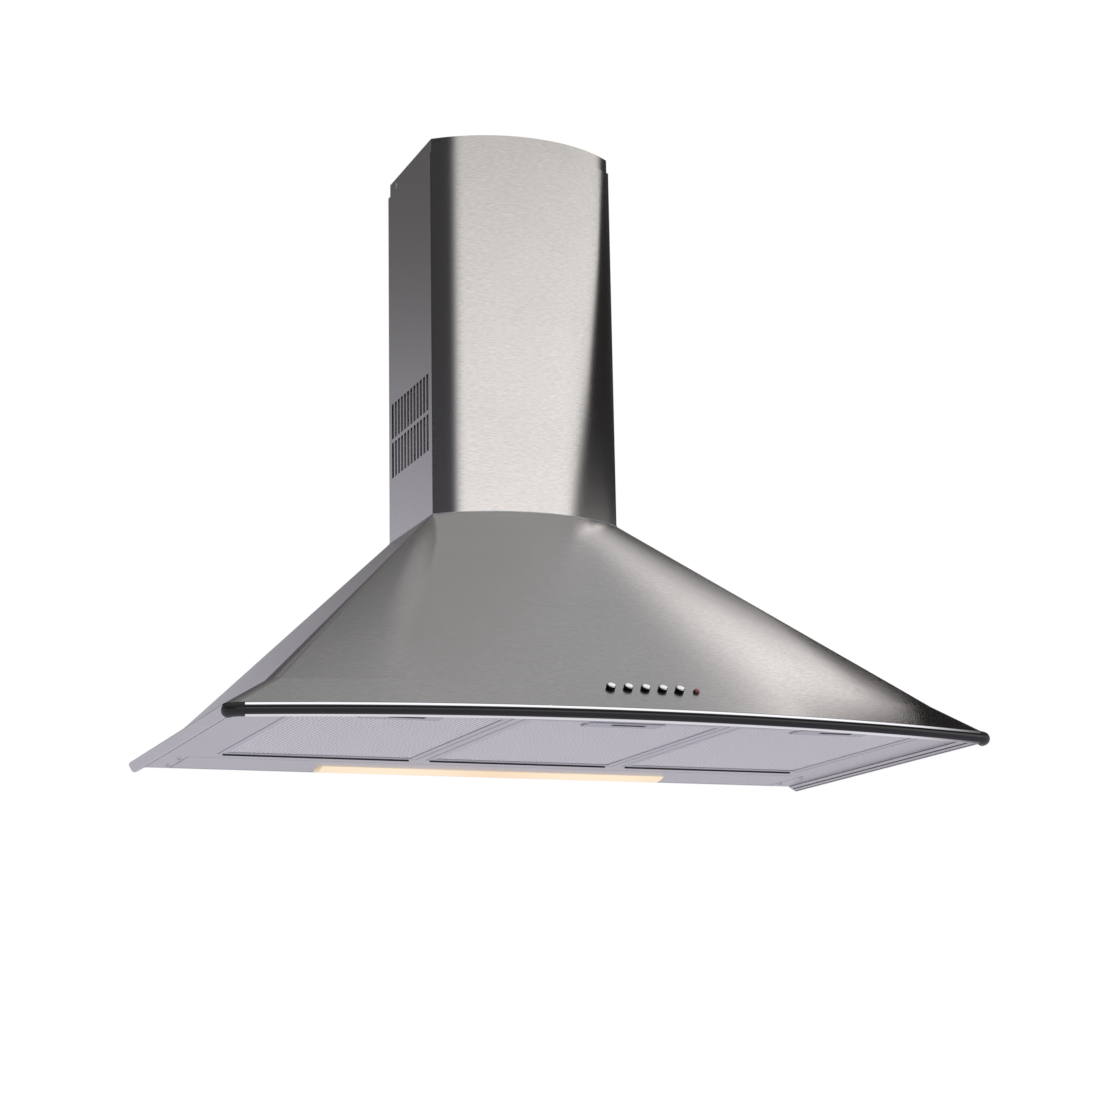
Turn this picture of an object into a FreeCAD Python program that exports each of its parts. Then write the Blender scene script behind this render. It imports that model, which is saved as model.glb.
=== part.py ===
# Wall-mounted chimney range hood with a curved front, modelled in millimetres.
# The origin is the middle of the back panel's bottom edge, on the wall.
# X runs to the right, Y back to the wall and Z up, so the hood lies at negative Y.
import FreeCAD
import Part
import math
import os

V = FreeCAD.Vector
ORIGIN = V(0, 0, 0)
X_AXIS = V(1, 0, 0)
Y_AXIS = V(0, 1, 0)
Z_AXIS = V(0, 0, 1)

# Overall sizes
hood_width = 897.0
canopy_depth = 558.0
canopy_height = 294.0
chimney_width = 240.0
chimney_depth = 216.0
chimney_bulge = 43.0
chimney_corner = 3.0

# Sheet metal and clearances
sheet = 1.0
seat_gap = 0.3
slide_gap = 1.0
swing_gap = 1.0
button_gap = 0.4
running_gap = 0.05
screw_gap = 0.3
overrun = 5.0

# Canopy shell
top_margin = 0.5
wing_width = 54.5
knee_height = 36.5
knee_bend = 30.0
tip_height = 3.8
hem_thickness = 13.7
hem_bend = 4.0
hem_lip_height = 10.0
base_bow = 67.0
base_corner = 18.0
panel_flange = 16.0

# Front rail
rail_diameter = 15.0
rail_drop = 2.0
rail_corner = 14.0
rail_cap_run = 14.0
stud_radius = 2.0
stud_end = 1.5
stud_inset = 14.0
lug_width = 10.0
lug_thickness = 3.0
stud_seam_margin = 67.0
stud_count = 4
nut_width = 7.0
nut_height = 3.2

# Underside frame and filters
frame_corner = 5.0
filter_names = ("left", "middle", "right")
filter_side_margin = 77.5
filter_front_margin = 3.5
filter_height = 9.0
filter_rear = 139.0
filter_bar = 12.0
filter_rim = 8.0
keeper_width = 14.0
keeper_height = 3.5
mesh_thickness = 0.8
core_pitch = 12.0
core_thickness = 0.5
tab_width = 20.0
tab_reach = 8.0
tab_spacing = 160.0
tab_thickness = 1.2

# Filter latch
latch_plate_width = 88.0
latch_plate_length = 29.0
latch_plate_drop = 0.8
latch_offset = 5.0
finger_width = 40.0
finger_length = 10.5
latch_travel = 6.0
latch_wall = 1.0
pull_thickness = 3.0
tongue_width = 12.0
tongue_thickness = 2.0

# Lamp panel
lamp_panel_side_margin = 50.5
lamp_panel_rear = 7.0
lamp_panel_front = 104.0
lamp_rim_height = 6.0
ear_width = 12.0
ear_length = 16.0
ear_spacing = 60.0
ear_screw_radius = 1.5
ear_screw_length = 8.0
ear_head_radius = 3.0
ear_face_radius = 2.2
ear_head_height = 1.2
lens_width = 450.0
lens_rear = 14.0
lens_length = 46.0
lens_thickness = 2.0
lens_bulge = 4.5
lens_tab_reach = 4.0
lens_tab_spacing = 300.0
lamp_housing_height = 40.0
lamp_housing_margin = 5.0
holder_radius = 12.0
holder_length = 24.0
socket_depth = 18.0
bulb_cap_radius = 7.0
bulb_cap_length = 22.0
bulb_radius = 17.0
bulb_length = 78.0
belly_share = 0.42
neck_share = 0.9
shoulder_share = 0.86
nose_share = 0.45
nose_width_share = 0.72
tip_share = 0.2

# Back panel and wall holes
wall_hole_radius = 4.0
wall_hole_spacing = 360.0
wall_hole_low = 60.0
wall_hole_high = 215.0

# Chimney covers
lower_cover_top = 756.0
upper_cover_top = 774.0
cover_flange = 8.0
slot_count = 12
slot_pitch = 12.8
slot_width = 7.4
slot_height = 46.0
slot_row_gap = 5.0
slot_row_base = 376.0
slot_first = 12.0
bracket_height = 14.0
bracket_drop = 2.0
bracket_thickness = 2.0
bracket_width = 216.0
bracket_jog_width = 16.0
bracket_wing = 35.0
bracket_hole_radius = 2.5
bracket_hole_spacing = 140.0
bracket_screw_radius = 1.5
bracket_screw_length = 5.0
bracket_screw_inset = 12.0
bracket_head_radius = 3.5
bracket_head_height = 0.8

# Blower
blower_x = -69.0
blower_z = 158.0
blower_front = 155.0
blower_back = 55.0
scroll_start = 88.0
scroll_growth = 10.0
outlet_width = 98.0
housing_wall = 1.5
inlet_radius = 55.0
inlet_ring_width = 10.0
inlet_lip_depth = 6.0
housing_flange_width = 132.0
wheel_radius = 75.0
blade_ring_width = 15.0
blade_count = 28
blade_thickness = 1.0
blade_sweep = 6.0
wheel_length = 78.0
wheel_ring = 2.0
wheel_plate = 2.0
wheel_back_gap = 15.0
hub_radius = 14.0
hub_length = 30.0
shaft_radius = 4.0
motor_radius = 46.0
motor_flange_radius = 62.0
motor_flange = 3.0
motor_length = 46.0
motor_edge = 5.0
motor_boss_radius = 20.0
motor_boss_length = 5.0
motor_bore_depth = 40.0
motor_hole_radius = 50.0
motor_screw_radius = 2.0
motor_screw_circle = 56.0
capacitor_radius = 15.0
capacitor_length = 60.0
capacitor_x = 125.0
capacitor_z = 150.0
clip_thickness = 1.5
clip_height = 12.0

# Duct outlet
outlet_y = -105.0
duct_radius = 59.5
spigot_wall = 1.2
spigot_height = 45.0
spigot_base_width = 150.0
spigot_base_thickness = 2.0
spigot_step = 4.0
outlet_screw_radius = 2.0
outlet_screw_spacing = 116.0
outlet_screw_length = 9.0
outlet_head_radius = 3.5
outlet_head_height = 2.2
flap_thickness = 0.8
flap_edge_gap = 1.5
flap_pin_radius = 1.5
flap_pin_height = 3.1
knuckle_radius = 3.0
knuckle_length = 12.0
knuckle_spread = 36.0

# Electrics
terminal_width = 40.0
terminal_length = 54.0
terminal_height = 30.0
terminal_x = 92.0
terminal_y = -42.0
gland_radius = 9.0
gland_stem_radius = 6.0
gland_height = 12.0
gland_bore_radius = 4.0
gland_flange = 4.0
gland_wall = 1.5

# Push buttons and indicator
button_names = ("stop", "speed_low", "speed_medium", "speed_high", "lamp")
button_pitch = 20.0
button_row_x = 3.0
button_z = 31.0
button_radius = 5.3
button_reach = 4.5
button_edge = 2.2
button_travel = 3.5
shoulder_radius = 6.8
shoulder_thickness = 1.2
shoulder_depth = 1.8
stem_radius = 2.5
stem_depth = 13.0
box_depth = 26.0
box_margin = 16.0
box_below = 6.0
box_above = 18.0
post_radius = 3.0
post_margin = 6.0
indicator_radius = 3.5
indicator_dome = 2.2

# Values worked out from the sizes above
half_width = hood_width / 2
knee_half_width = half_width - wing_width
rail_radius = rail_diameter / 2
rail_top = rail_radius - rail_drop
rail_half_width = half_width - rail_radius
rail_front = canopy_depth - rail_radius
rail_seam_half_width = rail_half_width - rail_cap_run
stud_half_width = rail_seam_half_width - stud_seam_margin
rail_arc = (rail_half_width ** 2 + base_bow ** 2) / (2 * base_bow)
shell_top = canopy_height - sheet
top_half_width = chimney_width / 2 + top_margin
top_depth = chimney_depth + top_margin
top_arc = (top_half_width ** 2 + chimney_bulge ** 2) / (2 * chimney_bulge)
outlet_x = 0.0
lamp_panel_width = 2 * (half_width - lamp_panel_side_margin)
filter_row_width = 2 * (half_width - filter_side_margin)
filter_pitch = (filter_row_width + 2 * swing_gap + filter_bar) / len(filter_names)
filter_width = filter_pitch - 2 * swing_gap - filter_bar
filter_front = rail_front - base_bow - filter_front_margin
filter_length = filter_front - filter_rear - 2 * swing_gap
box_front = shoulder_depth + shoulder_thickness + button_travel + slide_gap
stem_bore_depth = stem_depth + button_travel + slide_gap


def block(x0, x1, y0, y1, z0, z1):
    """A box between two corners."""
    return Part.makeBox(x1 - x0, y1 - y0, z1 - z0, V(x0, y0, z0))


def rod(radius, start, axis, length):
    """A round bar from a start point along an axis."""
    return Part.makeCylinder(radius, length, start, axis)


def prism(points, direction):
    """A solid swept from a flat closed outline along a direction."""
    wire = Part.makePolygon(points + points[:1])
    return Part.Face(wire).extrude(direction)


def fuse(shapes):
    """One solid made from several that touch."""
    return shapes[0].multiFuse(shapes[1:]).removeSplitter()


def mirrored(shape):
    """The same shape on the other side of the hood."""
    return shape.mirror(ORIGIN, X_AXIS)


def save(name, shape):
    """Writes one sub-part and reports its solids and volume."""
    shape.exportStep(os.path.join("parts", name + ".step"))
    state = "" if shape.isValid() else " INVALID"
    print(f"{name}: {len(shape.Solids)} solids, {shape.Volume:.0f} mm3{state}")


def corner_start(width, depth, arc, corner):
    """Y of the point where a D outline's straight side meets its rounded front corner."""
    return arc - depth - math.sqrt((arc - corner) ** 2 - (width - corner) ** 2)


def d_outline(width, depth, arc, corner, z, rear):
    """A closed D outline: straight back and sides, rounded corners and a bowed front."""
    side_y = corner_start(width, depth, arc, corner)
    centre_y = arc - depth
    corner_x = width - corner
    tangent_x = corner_x * arc / (arc - corner)
    tangent_y = centre_y + (side_y - centre_y) * arc / (arc - corner)
    middle = math.atan2(tangent_y - side_y, tangent_x - corner_x) / 2
    middle_x = corner_x + corner * math.cos(middle)
    middle_y = side_y + corner * math.sin(middle)

    def at(x, y):
        return V(x, y, z)

    return Part.Wire([
        Part.LineSegment(at(-width, rear), at(-width, side_y)).toShape(),
        Part.Arc(at(-width, side_y), at(-middle_x, middle_y), at(-tangent_x, tangent_y)).toShape(),
        Part.Arc(at(-tangent_x, tangent_y), at(0, -depth), at(tangent_x, tangent_y)).toShape(),
        Part.Arc(at(tangent_x, tangent_y), at(middle_x, middle_y), at(width, side_y)).toShape(),
        Part.LineSegment(at(width, side_y), at(width, rear)).toShape(),
        Part.LineSegment(at(width, rear), at(-width, rear)).toShape(),
    ])


def d_slab(section, z0, z1, rear, inset=0):
    """A flat D-shaped slab, drawn in from its section by an inset."""
    width, depth, arc, corner = section
    corner = max(corner - inset, sheet)
    wire = d_outline(width - inset, depth - inset, arc - inset, corner, z0, rear)
    return Part.Face(wire).extrude(V(0, 0, z1 - z0))


def canopy_section(z):
    """Half width, depth, front arc and corner radius of the canopy's outside at a height."""
    top = (top_half_width, top_depth, top_arc, chimney_corner)
    tip = (half_width, rail_front, rail_arc, base_corner)
    share = (shell_top - z) / (shell_top - tip_height)
    section = [high + share * (low - high) for high, low in zip(top, tip)]
    if z > knee_height:
        side_share = (shell_top - z) / (shell_top - knee_height)
        section[0] = top_half_width + side_share * (knee_half_width - top_half_width)
    else:
        side_share = (knee_height - z) / (knee_height - tip_height)
        section[0] = knee_half_width + side_share * (half_width - knee_half_width)
    return tuple(section)


def section_wire(z, inset, rear):
    """The canopy's outline at a height, drawn in by an inset."""
    width, depth, arc, corner = canopy_section(z)
    return d_outline(width - inset, depth - inset, arc - inset, corner - inset, z, rear)


side_angle = math.atan2(shell_top - knee_height, knee_half_width - top_half_width)
wall_inset = sheet / math.sin(side_angle)
wing_angle = math.atan2(knee_height - tip_height, half_width - knee_half_width)
panel_angle = math.atan2(shell_top - tip_height, canopy_section(tip_height)[1] - canopy_section(shell_top)[1])
seam_top_y = corner_start(*canopy_section(shell_top))
seam_low_y = corner_start(*canopy_section(tip_height))
rail_end_y = corner_start(rail_half_width, rail_front, rail_arc, rail_corner)
hem_front_y = rail_end_y + seat_gap


def seam_y(z):
    """Y of the straight seam between the front panel and the side panels."""
    return seam_top_y + (seam_low_y - seam_top_y) * (shell_top - z) / (shell_top - tip_height)


def behind_seam():
    """Everything behind the seam, as wide as the hood."""
    high = canopy_height + overrun
    low = -hem_thickness - overrun
    reach = half_width + overrun
    points = [
        V(-reach, seam_y(high), high),
        V(-reach, overrun, high),
        V(-reach, overrun, low),
        V(-reach, seam_y(low), low),
    ]
    return prism(points, V(2 * reach, 0, 0))


def offset_polyline(points, thickness):
    """A flat strip of sheet along a line of X and Z points, its thickness to the right."""
    normals = []
    for start, end in zip(points, points[1:]):
        length = math.hypot(end[0] - start[0], end[1] - start[1])
        normals.append(((end[1] - start[1]) / length, (start[0] - end[0]) / length))
    inner = []
    for index, point in enumerate(points):
        before = normals[max(index - 1, 0)]
        after = normals[min(index, len(normals) - 1)]
        scale = thickness / (1 + before[0] * after[0] + before[1] * after[1])
        inner.append((point[0] + (before[0] + after[0]) * scale, point[1] + (before[1] + after[1]) * scale))
    return points + inner[::-1]


def rounded_outline(points, radii):
    """A closed wire through X and Z points, with a round bend at each point that has a radius."""
    stops = []
    for index, point in enumerate(points):
        here = V(point[0], 0, point[1])
        before, after = points[index - 1], points[(index + 1) % len(points)]
        inward = (here - V(before[0], 0, before[1])).normalize()
        outward = (V(after[0], 0, after[1]) - here).normalize()
        turn = inward.getAngle(outward)
        radius = radii.get(index, 0)
        reach = radius * math.tan(turn / 2)
        middle = here
        if radius:
            middle = here + (outward - inward).normalize() * (radius / math.cos(turn / 2) - radius)
        stops.append((here - inward * reach, middle, here + outward * reach))
    edges = []
    for index, (start, middle, end) in enumerate(stops):
        edges.append(Part.LineSegment(stops[index - 1][2], start).toShape())
        if (end - start).Length > 0:
            edges.append(Part.Arc(start, middle, end).toShape())
    return Part.Wire(edges)


def hem_points():
    """X and Z points of the folded hem: tip, lower edge, return and lip."""
    along = (math.cos(wing_angle), -math.sin(wing_angle))
    inward = (along[1], -along[0])
    tip = (half_width, tip_height)
    low = (tip[0] + inward[0] * hem_thickness, tip[1] + inward[1] * hem_thickness)
    run = -low[1] / math.sin(wing_angle)
    back = (low[0] - along[0] * run, 0)
    return tip, low, back, (back[0], hem_lip_height)


frame_half_width = hem_points()[2][0]


def canopy_front_panel():
    """The bowed front sheet with its rounded corners, stud flange and button holes."""
    levels = (shell_top, knee_height, tip_height)
    outside = Part.makeLoft([section_wire(z, 0, 0) for z in levels], True, True)
    inside = Part.makeLoft([section_wire(z, wall_inset, overrun) for z in levels], True, True)
    shell = outside.cut(inside)
    base = rail_top + seat_gap
    flange_top = base + sheet
    section = canopy_section(flange_top)
    ring = d_slab(section, base, flange_top, 0, wall_inset / 2)
    ring = ring.cut(d_slab(section, base - overrun, flange_top + overrun, overrun, panel_flange))
    reach = half_width + overrun
    floor = block(-reach, reach, -canopy_depth - overrun, overrun, -hem_thickness - overrun, base)
    panel = shell.cut(floor).fuse(ring).cut(behind_seam())
    holes = []
    for x, y in stud_places():
        holes.append(rod(stud_radius + screw_gap, V(x, y, base - overrun), Z_AXIS, 2 * overrun))
    for x in button_places():
        holes.append(panel_hole(x, button_radius))
    holes.append(panel_hole(indicator_place(), indicator_radius))
    return panel.cut(Part.makeCompound(holes)).removeSplitter()


def canopy_side_panel():
    """The right-hand side sheet with its flared wing, folded hem and inner lip."""
    tip, low, back, lip = hem_points()
    run_out = overrun / math.tan(side_angle)
    top = (top_half_width - run_out, shell_top + overrun)
    knee = (knee_half_width, knee_height)
    outline = offset_polyline([top, knee, tip, low, back, lip], sheet)
    length = canopy_depth
    bends = {1: knee_bend, 2: hem_bend, 3: hem_bend, 8: hem_bend - sheet, 9: hem_bend - sheet,
             10: knee_bend - sheet}
    face = Part.Face(rounded_outline(outline, bends))
    face.translate(V(0, -length, 0))
    panel = face.extrude(V(0, length - sheet, 0))
    reach = half_width + overrun
    above = block(0, reach, -length - overrun, overrun, shell_top, shell_top + 2 * overrun)
    ahead = block(0, reach, -length - overrun, hem_front_y, -hem_thickness - overrun, shell_top)
    return panel.common(behind_seam()).cut(above).cut(ahead)


def back_panel():
    """The flat back sheet that hangs on the wall."""
    knee = (knee_half_width, knee_height)
    slope = (knee_height - tip_height) / (half_width - knee_half_width)
    edge_z = knee_height - slope * (frame_half_width - knee_half_width)
    right = [(top_half_width, shell_top), knee, (frame_half_width, edge_z), (frame_half_width, 0)]
    left = [(-x, z) for x, z in right[::-1]]
    panel = prism([V(x, -sheet, z) for x, z in right + left], V(0, sheet, 0))
    for x in (-wall_hole_spacing / 2, wall_hole_spacing / 2):
        for z in (wall_hole_low, wall_hole_high):
            panel = panel.cut(rod(wall_hole_radius, V(x, -sheet - overrun, z), Y_AXIS, sheet + 2 * overrun))
    return panel


def top_plate():
    """The flat plate that closes the canopy and carries the blower and the chimney."""
    section = (top_half_width, top_depth, top_arc, chimney_corner)
    plate = d_slab(section, shell_top, canopy_height, 0)
    inner = outlet_width / 2 - housing_wall
    depth_half = (blower_front - blower_back) / 2 - housing_wall
    plate = plate.cut(block(outlet_x - inner, outlet_x + inner, outlet_y - depth_half, outlet_y + depth_half,
                            shell_top - overrun, canopy_height + overrun))
    for x, y in outlet_screw_places():
        hole = V(x, y, shell_top - overrun)
        plate = plate.cut(rod(outlet_screw_radius + screw_gap, hole, Z_AXIS, 2 * overrun))
    gland = V(terminal_x, terminal_y, shell_top - overrun)
    return plate.cut(rod(gland_stem_radius + screw_gap, gland, Z_AXIS, 2 * overrun))


def ring_arc(centre_y, arc, radius, angle_from, angle_to, centre_x=0):
    """A bent round bar: a piece of a torus that lies flat at the rail's height."""
    centre = V(centre_x, centre_y, -rail_drop)
    bar = Part.makeTorus(arc, radius, centre, Z_AXIS, -180, 180, angle_to - angle_from)
    bar.rotate(centre, Z_AXIS, angle_from)
    return bar


def stud_places():
    """X and Y of the rail's studs, a little behind its arc."""
    centre_y = rail_arc - rail_front
    places = []
    for index in range(stud_count):
        x = -stud_half_width + 2 * stud_half_width * index / (stud_count - 1)
        places.append((x, centre_y - math.sqrt((rail_arc - stud_inset) ** 2 - x ** 2)))
    return places


def stud_lug(x, y, clearance):
    """The flat lug that carries one stud behind the rail, grown by a clearance."""
    side = lug_width / 2 + clearance
    return block(x - side, x + side, y - stud_inset, y + side, rail_top - lug_thickness - clearance,
                 rail_top + clearance)


def front_rail():
    """The round rail along the front edge, with its welded lugs and studs."""
    centre_y = rail_arc - rail_front
    spread = math.degrees(math.asin((rail_seam_half_width - seat_gap) / rail_arc))
    bar = ring_arc(centre_y, rail_arc, rail_radius, -90 - spread, -90 + spread)
    lugs = [stud_lug(x, y, 0) for x, y in stud_places()]
    height = seat_gap + sheet + nut_height + stud_end
    studs = [rod(stud_radius, V(x, y, rail_top), Z_AXIS, height) for x, y in stud_places()]
    return fuse([bar] + lugs + studs)


def rail_end_cap():
    """The black cap that takes the rail round the right-hand corner to the hem."""
    centre_y = rail_arc - rail_front
    corner_x = rail_half_width - rail_corner
    bend = math.degrees(math.asin(corner_x / (rail_arc - rail_corner)))
    seam = math.degrees(math.asin(rail_seam_half_width / rail_arc))
    run = ring_arc(centre_y, rail_arc, rail_radius, -90 + seam, -90 + bend)
    elbow = ring_arc(rail_end_y, rail_corner, rail_radius, -90 + bend, 0, corner_x)
    return fuse([run, elbow])


def rail_nuts():
    """The nuts that clamp the rail's studs to the front panel's flange."""
    nuts = []
    base = rail_top + seat_gap + sheet
    across = nut_width / math.sqrt(3)
    for x, y in stud_places():
        points = []
        for corner in range(6):
            angle = math.radians(60 * corner)
            points.append(V(x + across * math.cos(angle), y + across * math.sin(angle), base))
        nut = prism(points, V(0, 0, nut_height))
        bore = rod(stud_radius + running_gap, V(x, y, base - overrun), Z_AXIS, nut_height + 2 * overrun)
        nuts.append(nut.cut(bore))
    return Part.makeCompound(nuts)


def filter_places():
    """X of each filter's middle."""
    count = len(filter_names)
    return [filter_pitch * (index - (count - 1) / 2) for index in range(count)]


def underside_frame():
    """The flat frame under the canopy, with openings for the filters and the lamp panel."""
    depth = rail_front - rail_radius - seat_gap
    arc = rail_arc - rail_radius - seat_gap
    section = (frame_half_width, depth, arc, frame_corner)
    pan = d_slab(section, 0, rail_top, -sheet)
    pan = pan.cut(d_slab(section, sheet, rail_top + overrun, -2 * sheet, sheet))
    for x, y in stud_places():
        pan = pan.cut(stud_lug(x, y, seat_gap))
    for x in filter_places():
        side = filter_width / 2 + swing_gap
        opening = block(x - side, x + side, -filter_front, -filter_rear, -overrun, overrun)
        wall = block(x - side, x + side, -filter_front - sheet, -filter_front, 0, filter_height)
        keeper_x = x + latch_offset
        keeper = block(keeper_x - keeper_width / 2, keeper_x + keeper_width / 2, -filter_front - overrun,
                       -filter_front + overrun, tongue_base() - seat_gap, tongue_base() + keeper_height)
        pan = pan.cut(opening).fuse(wall).cut(keeper)
    side = lamp_panel_width / 2 + swing_gap
    front = -lamp_panel_front - swing_gap
    pan = pan.cut(block(-side, side, front, -lamp_panel_rear + swing_gap, -overrun, overrun))
    for x, y in ear_screw_places():
        pan = pan.cut(rod(ear_screw_radius + screw_gap, V(x, y, -overrun), Z_AXIS, 2 * overrun))
    return pan.removeSplitter()


def filter_box(x, inset, z0, z1):
    """A block that fills a filter's outline, drawn in by an inset."""
    rear = -filter_rear - swing_gap
    front = rear - filter_length
    side = filter_width / 2
    return block(x - side + inset, x + side - inset, front + inset, rear - inset, z0, z1)


def latch_space(x, clearance):
    """The space that the latch housing takes out of a filter's mesh and core."""
    front = -filter_front + swing_gap
    side = latch_plate_width / 2 + clearance
    return block(x - side, x + side, front + sheet, front + sheet + latch_plate_length + clearance,
                 -overrun, filter_height + overrun)


def filter_frame(x):
    """A filter's channel-section frame with the two tabs that hang it at the rear."""
    frame = filter_box(x, 0, 0, filter_height)
    frame = frame.cut(filter_box(x, sheet, sheet, filter_height - sheet))
    frame = frame.cut(filter_box(x, filter_rim, -overrun, filter_height + overrun))
    frame = frame.cut(latch_space(x, seat_gap))
    rear = -filter_rear - swing_gap
    for tab_x in (x - tab_spacing / 2, x + tab_spacing / 2):
        tab = block(tab_x - tab_width / 2, tab_x + tab_width / 2, rear - sheet, -filter_rear + tab_reach,
                    sheet + seat_gap, sheet + seat_gap + tab_thickness)
        frame = frame.fuse(tab)
    slot_x = x + latch_offset
    slot = block(slot_x - tongue_width / 2 - seat_gap, slot_x + tongue_width / 2 + seat_gap,
                 -filter_front - overrun, -filter_front + overrun, tongue_base() - seat_gap,
                 tongue_base() + tongue_thickness + seat_gap)
    return frame.cut(slot).removeSplitter()


def filter_mesh(x):
    """A filter's lower and upper mesh sheets."""
    low = filter_box(x, sheet + seat_gap, sheet, sheet + mesh_thickness)
    top = filter_height - sheet
    high = filter_box(x, sheet + seat_gap, top - mesh_thickness, top)
    space = latch_space(x, seat_gap)
    return Part.makeCompound([low.cut(space), high.cut(space)])


def filter_core(x):
    """A filter's folded metal core between the mesh sheets."""
    low = sheet + mesh_thickness
    high = filter_height - low
    width = filter_width - 2 * filter_rim
    folds = int(width / core_pitch)
    start = x - folds * core_pitch / 2
    lift = high - low - core_thickness
    line = []
    for index in range(2 * folds + 1):
        line.append((start + index * core_pitch / 2, low + lift * (index % 2)))
    points = line + [(px, pz + core_thickness) for px, pz in line[::-1]]
    rear = -filter_rear - swing_gap - filter_rim
    core = prism([V(px, rear, pz) for px, pz in points], V(0, 2 * filter_rim - filter_length, 0))
    return core.cut(latch_space(x, seat_gap))


def tongue_base():
    """Height of the latch tongue's underside."""
    return filter_height / 2 - tongue_thickness / 4


def latch_levels():
    """Y of the finger opening's front edge, the pull's front face and the cavity's rear."""
    front = -filter_front + swing_gap + sheet
    finger_front = front + latch_plate_length - finger_length - 3 * latch_wall - latch_travel - pull_thickness
    pull_front = finger_front + finger_length - pull_thickness
    cavity_rear = pull_front + pull_thickness + latch_travel + latch_wall
    return finger_front, pull_front, cavity_rear


def latch_housing(x):
    """The latch's plate and cup, with the finger opening from below and the tongue's way out."""
    front = -filter_front + swing_gap + sheet
    side = latch_plate_width / 2
    body = block(x - side, x + side, front, front + latch_plate_length, 0, filter_height - sheet)
    plate = block(x - side, x + side, front, front + latch_plate_length, -latch_plate_drop, 0)
    finger_front, pull_front, cavity_rear = latch_levels()
    middle = x + latch_offset
    finger_side = finger_width / 2
    cavity = block(middle - finger_side, middle + finger_side, finger_front, cavity_rear, latch_wall,
                   filter_height - sheet - latch_wall)
    opening = block(middle - finger_side, middle + finger_side, finger_front, finger_front + finger_length,
                    -overrun, latch_wall)
    way = block(middle - tongue_width / 2 - seat_gap, middle + tongue_width / 2 + seat_gap, front - overrun,
                finger_front, tongue_base() - seat_gap, tongue_base() + tongue_thickness + seat_gap)
    return body.fuse(plate).removeSplitter().cut(cavity.fuse(opening)).cut(way)


def latch_slider(x):
    """The sliding latch: a finger pull and the tongue that points at the keeper."""
    finger_front, pull_front, cavity_rear = latch_levels()
    middle = x + latch_offset
    side = finger_width / 2 - seat_gap
    top = filter_height - sheet - latch_wall - seat_gap
    pull = block(middle - side, middle + side, pull_front, pull_front + pull_thickness,
                 latch_wall + seat_gap, top)
    tongue = block(middle - tongue_width / 2, middle + tongue_width / 2, -filter_front + seat_gap, pull_front,
                   tongue_base(), tongue_base() + tongue_thickness)
    return fuse([pull, tongue])


def ear_screw_places():
    """X and Y of the four screws that hold the lamp panel's ears."""
    middle = -(lamp_panel_front + lamp_panel_rear) / 2
    x = lamp_panel_width / 2 + swing_gap + ear_width / 2
    return [(sx, sy) for sx in (-x, x) for sy in (middle - ear_spacing / 2, middle + ear_spacing / 2)]


def lens_opening(inset, z0, z1):
    """The diffuser's opening in the lamp panel, drawn in by an inset."""
    side = lens_width / 2 - inset
    return block(-side, side, -lens_rear - lens_length + inset, -lens_rear - inset, z0, z1)


def lamp_panel():
    """The removable panel at the back of the underside that carries the lamps."""
    side = lamp_panel_width / 2
    pan = block(-side, side, -lamp_panel_front, -lamp_panel_rear, 0, lamp_rim_height)
    pan = pan.cut(block(-side + sheet, side - sheet, -lamp_panel_front + sheet, -lamp_panel_rear - sheet,
                        sheet, lamp_rim_height + overrun))
    for x, y in ear_screw_places():
        start = side - sheet if x > 0 else -side - swing_gap - ear_width
        end = start + sheet + swing_gap + ear_width
        ear = block(start, end, y - ear_length / 2, y + ear_length / 2, sheet, 2 * sheet)
        pan = pan.fuse(ear).cut(rod(ear_screw_radius + running_gap, V(x, y, -overrun), Z_AXIS, 2 * overrun))
    return pan.cut(lens_opening(0, -overrun, overrun)).removeSplitter()


def lamp_panel_screws():
    """The four pan-head screws that hold the lamp panel from below."""
    screws = []
    for x, y in ear_screw_places():
        head = Part.makeCone(ear_face_radius, ear_head_radius, ear_head_height, V(x, y, -ear_head_height))
        shank = rod(ear_screw_radius, V(x, y, 0), Z_AXIS, ear_screw_length)
        screws.append(fuse([head, shank]))
    return Part.makeCompound(screws)


def lamp_housing():
    """The folded box over the lamps, open at the bottom."""
    side = lens_width / 2 + lamp_housing_margin
    rear = -lamp_panel_rear - sheet - seat_gap
    front = -lens_rear - lens_length - lamp_housing_margin
    box = block(-side, side, front, rear, sheet, lamp_housing_height)
    hollow = block(-side + sheet, side - sheet, front + sheet, rear - sheet, 0, lamp_housing_height - sheet)
    return box.cut(hollow)


def lamp_axis():
    """Y and Z of the line on which both bulbs lie."""
    rear = -lamp_panel_rear - sheet - seat_gap
    front = -lens_rear - lens_length - lamp_housing_margin
    return (rear + front) / 2, (lamp_housing_height + sheet) / 2


def lamp_holders():
    """Two lamp holders on the housing's end walls."""
    y, z = lamp_axis()
    end = lens_width / 2 + lamp_housing_margin - sheet
    body = rod(holder_radius, V(end - holder_length, y, z), X_AXIS, holder_length)
    foot = block(end - 2 * sheet, end, y - holder_radius, y + holder_radius, z - holder_radius,
                 lamp_housing_height - sheet)
    mouth = V(end - holder_length - overrun, y, z)
    socket = rod(bulb_cap_radius + screw_gap, mouth, X_AXIS, socket_depth + overrun)
    holder = fuse([body, foot]).cut(socket)
    return Part.makeCompound([holder, mirrored(holder)])


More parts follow.
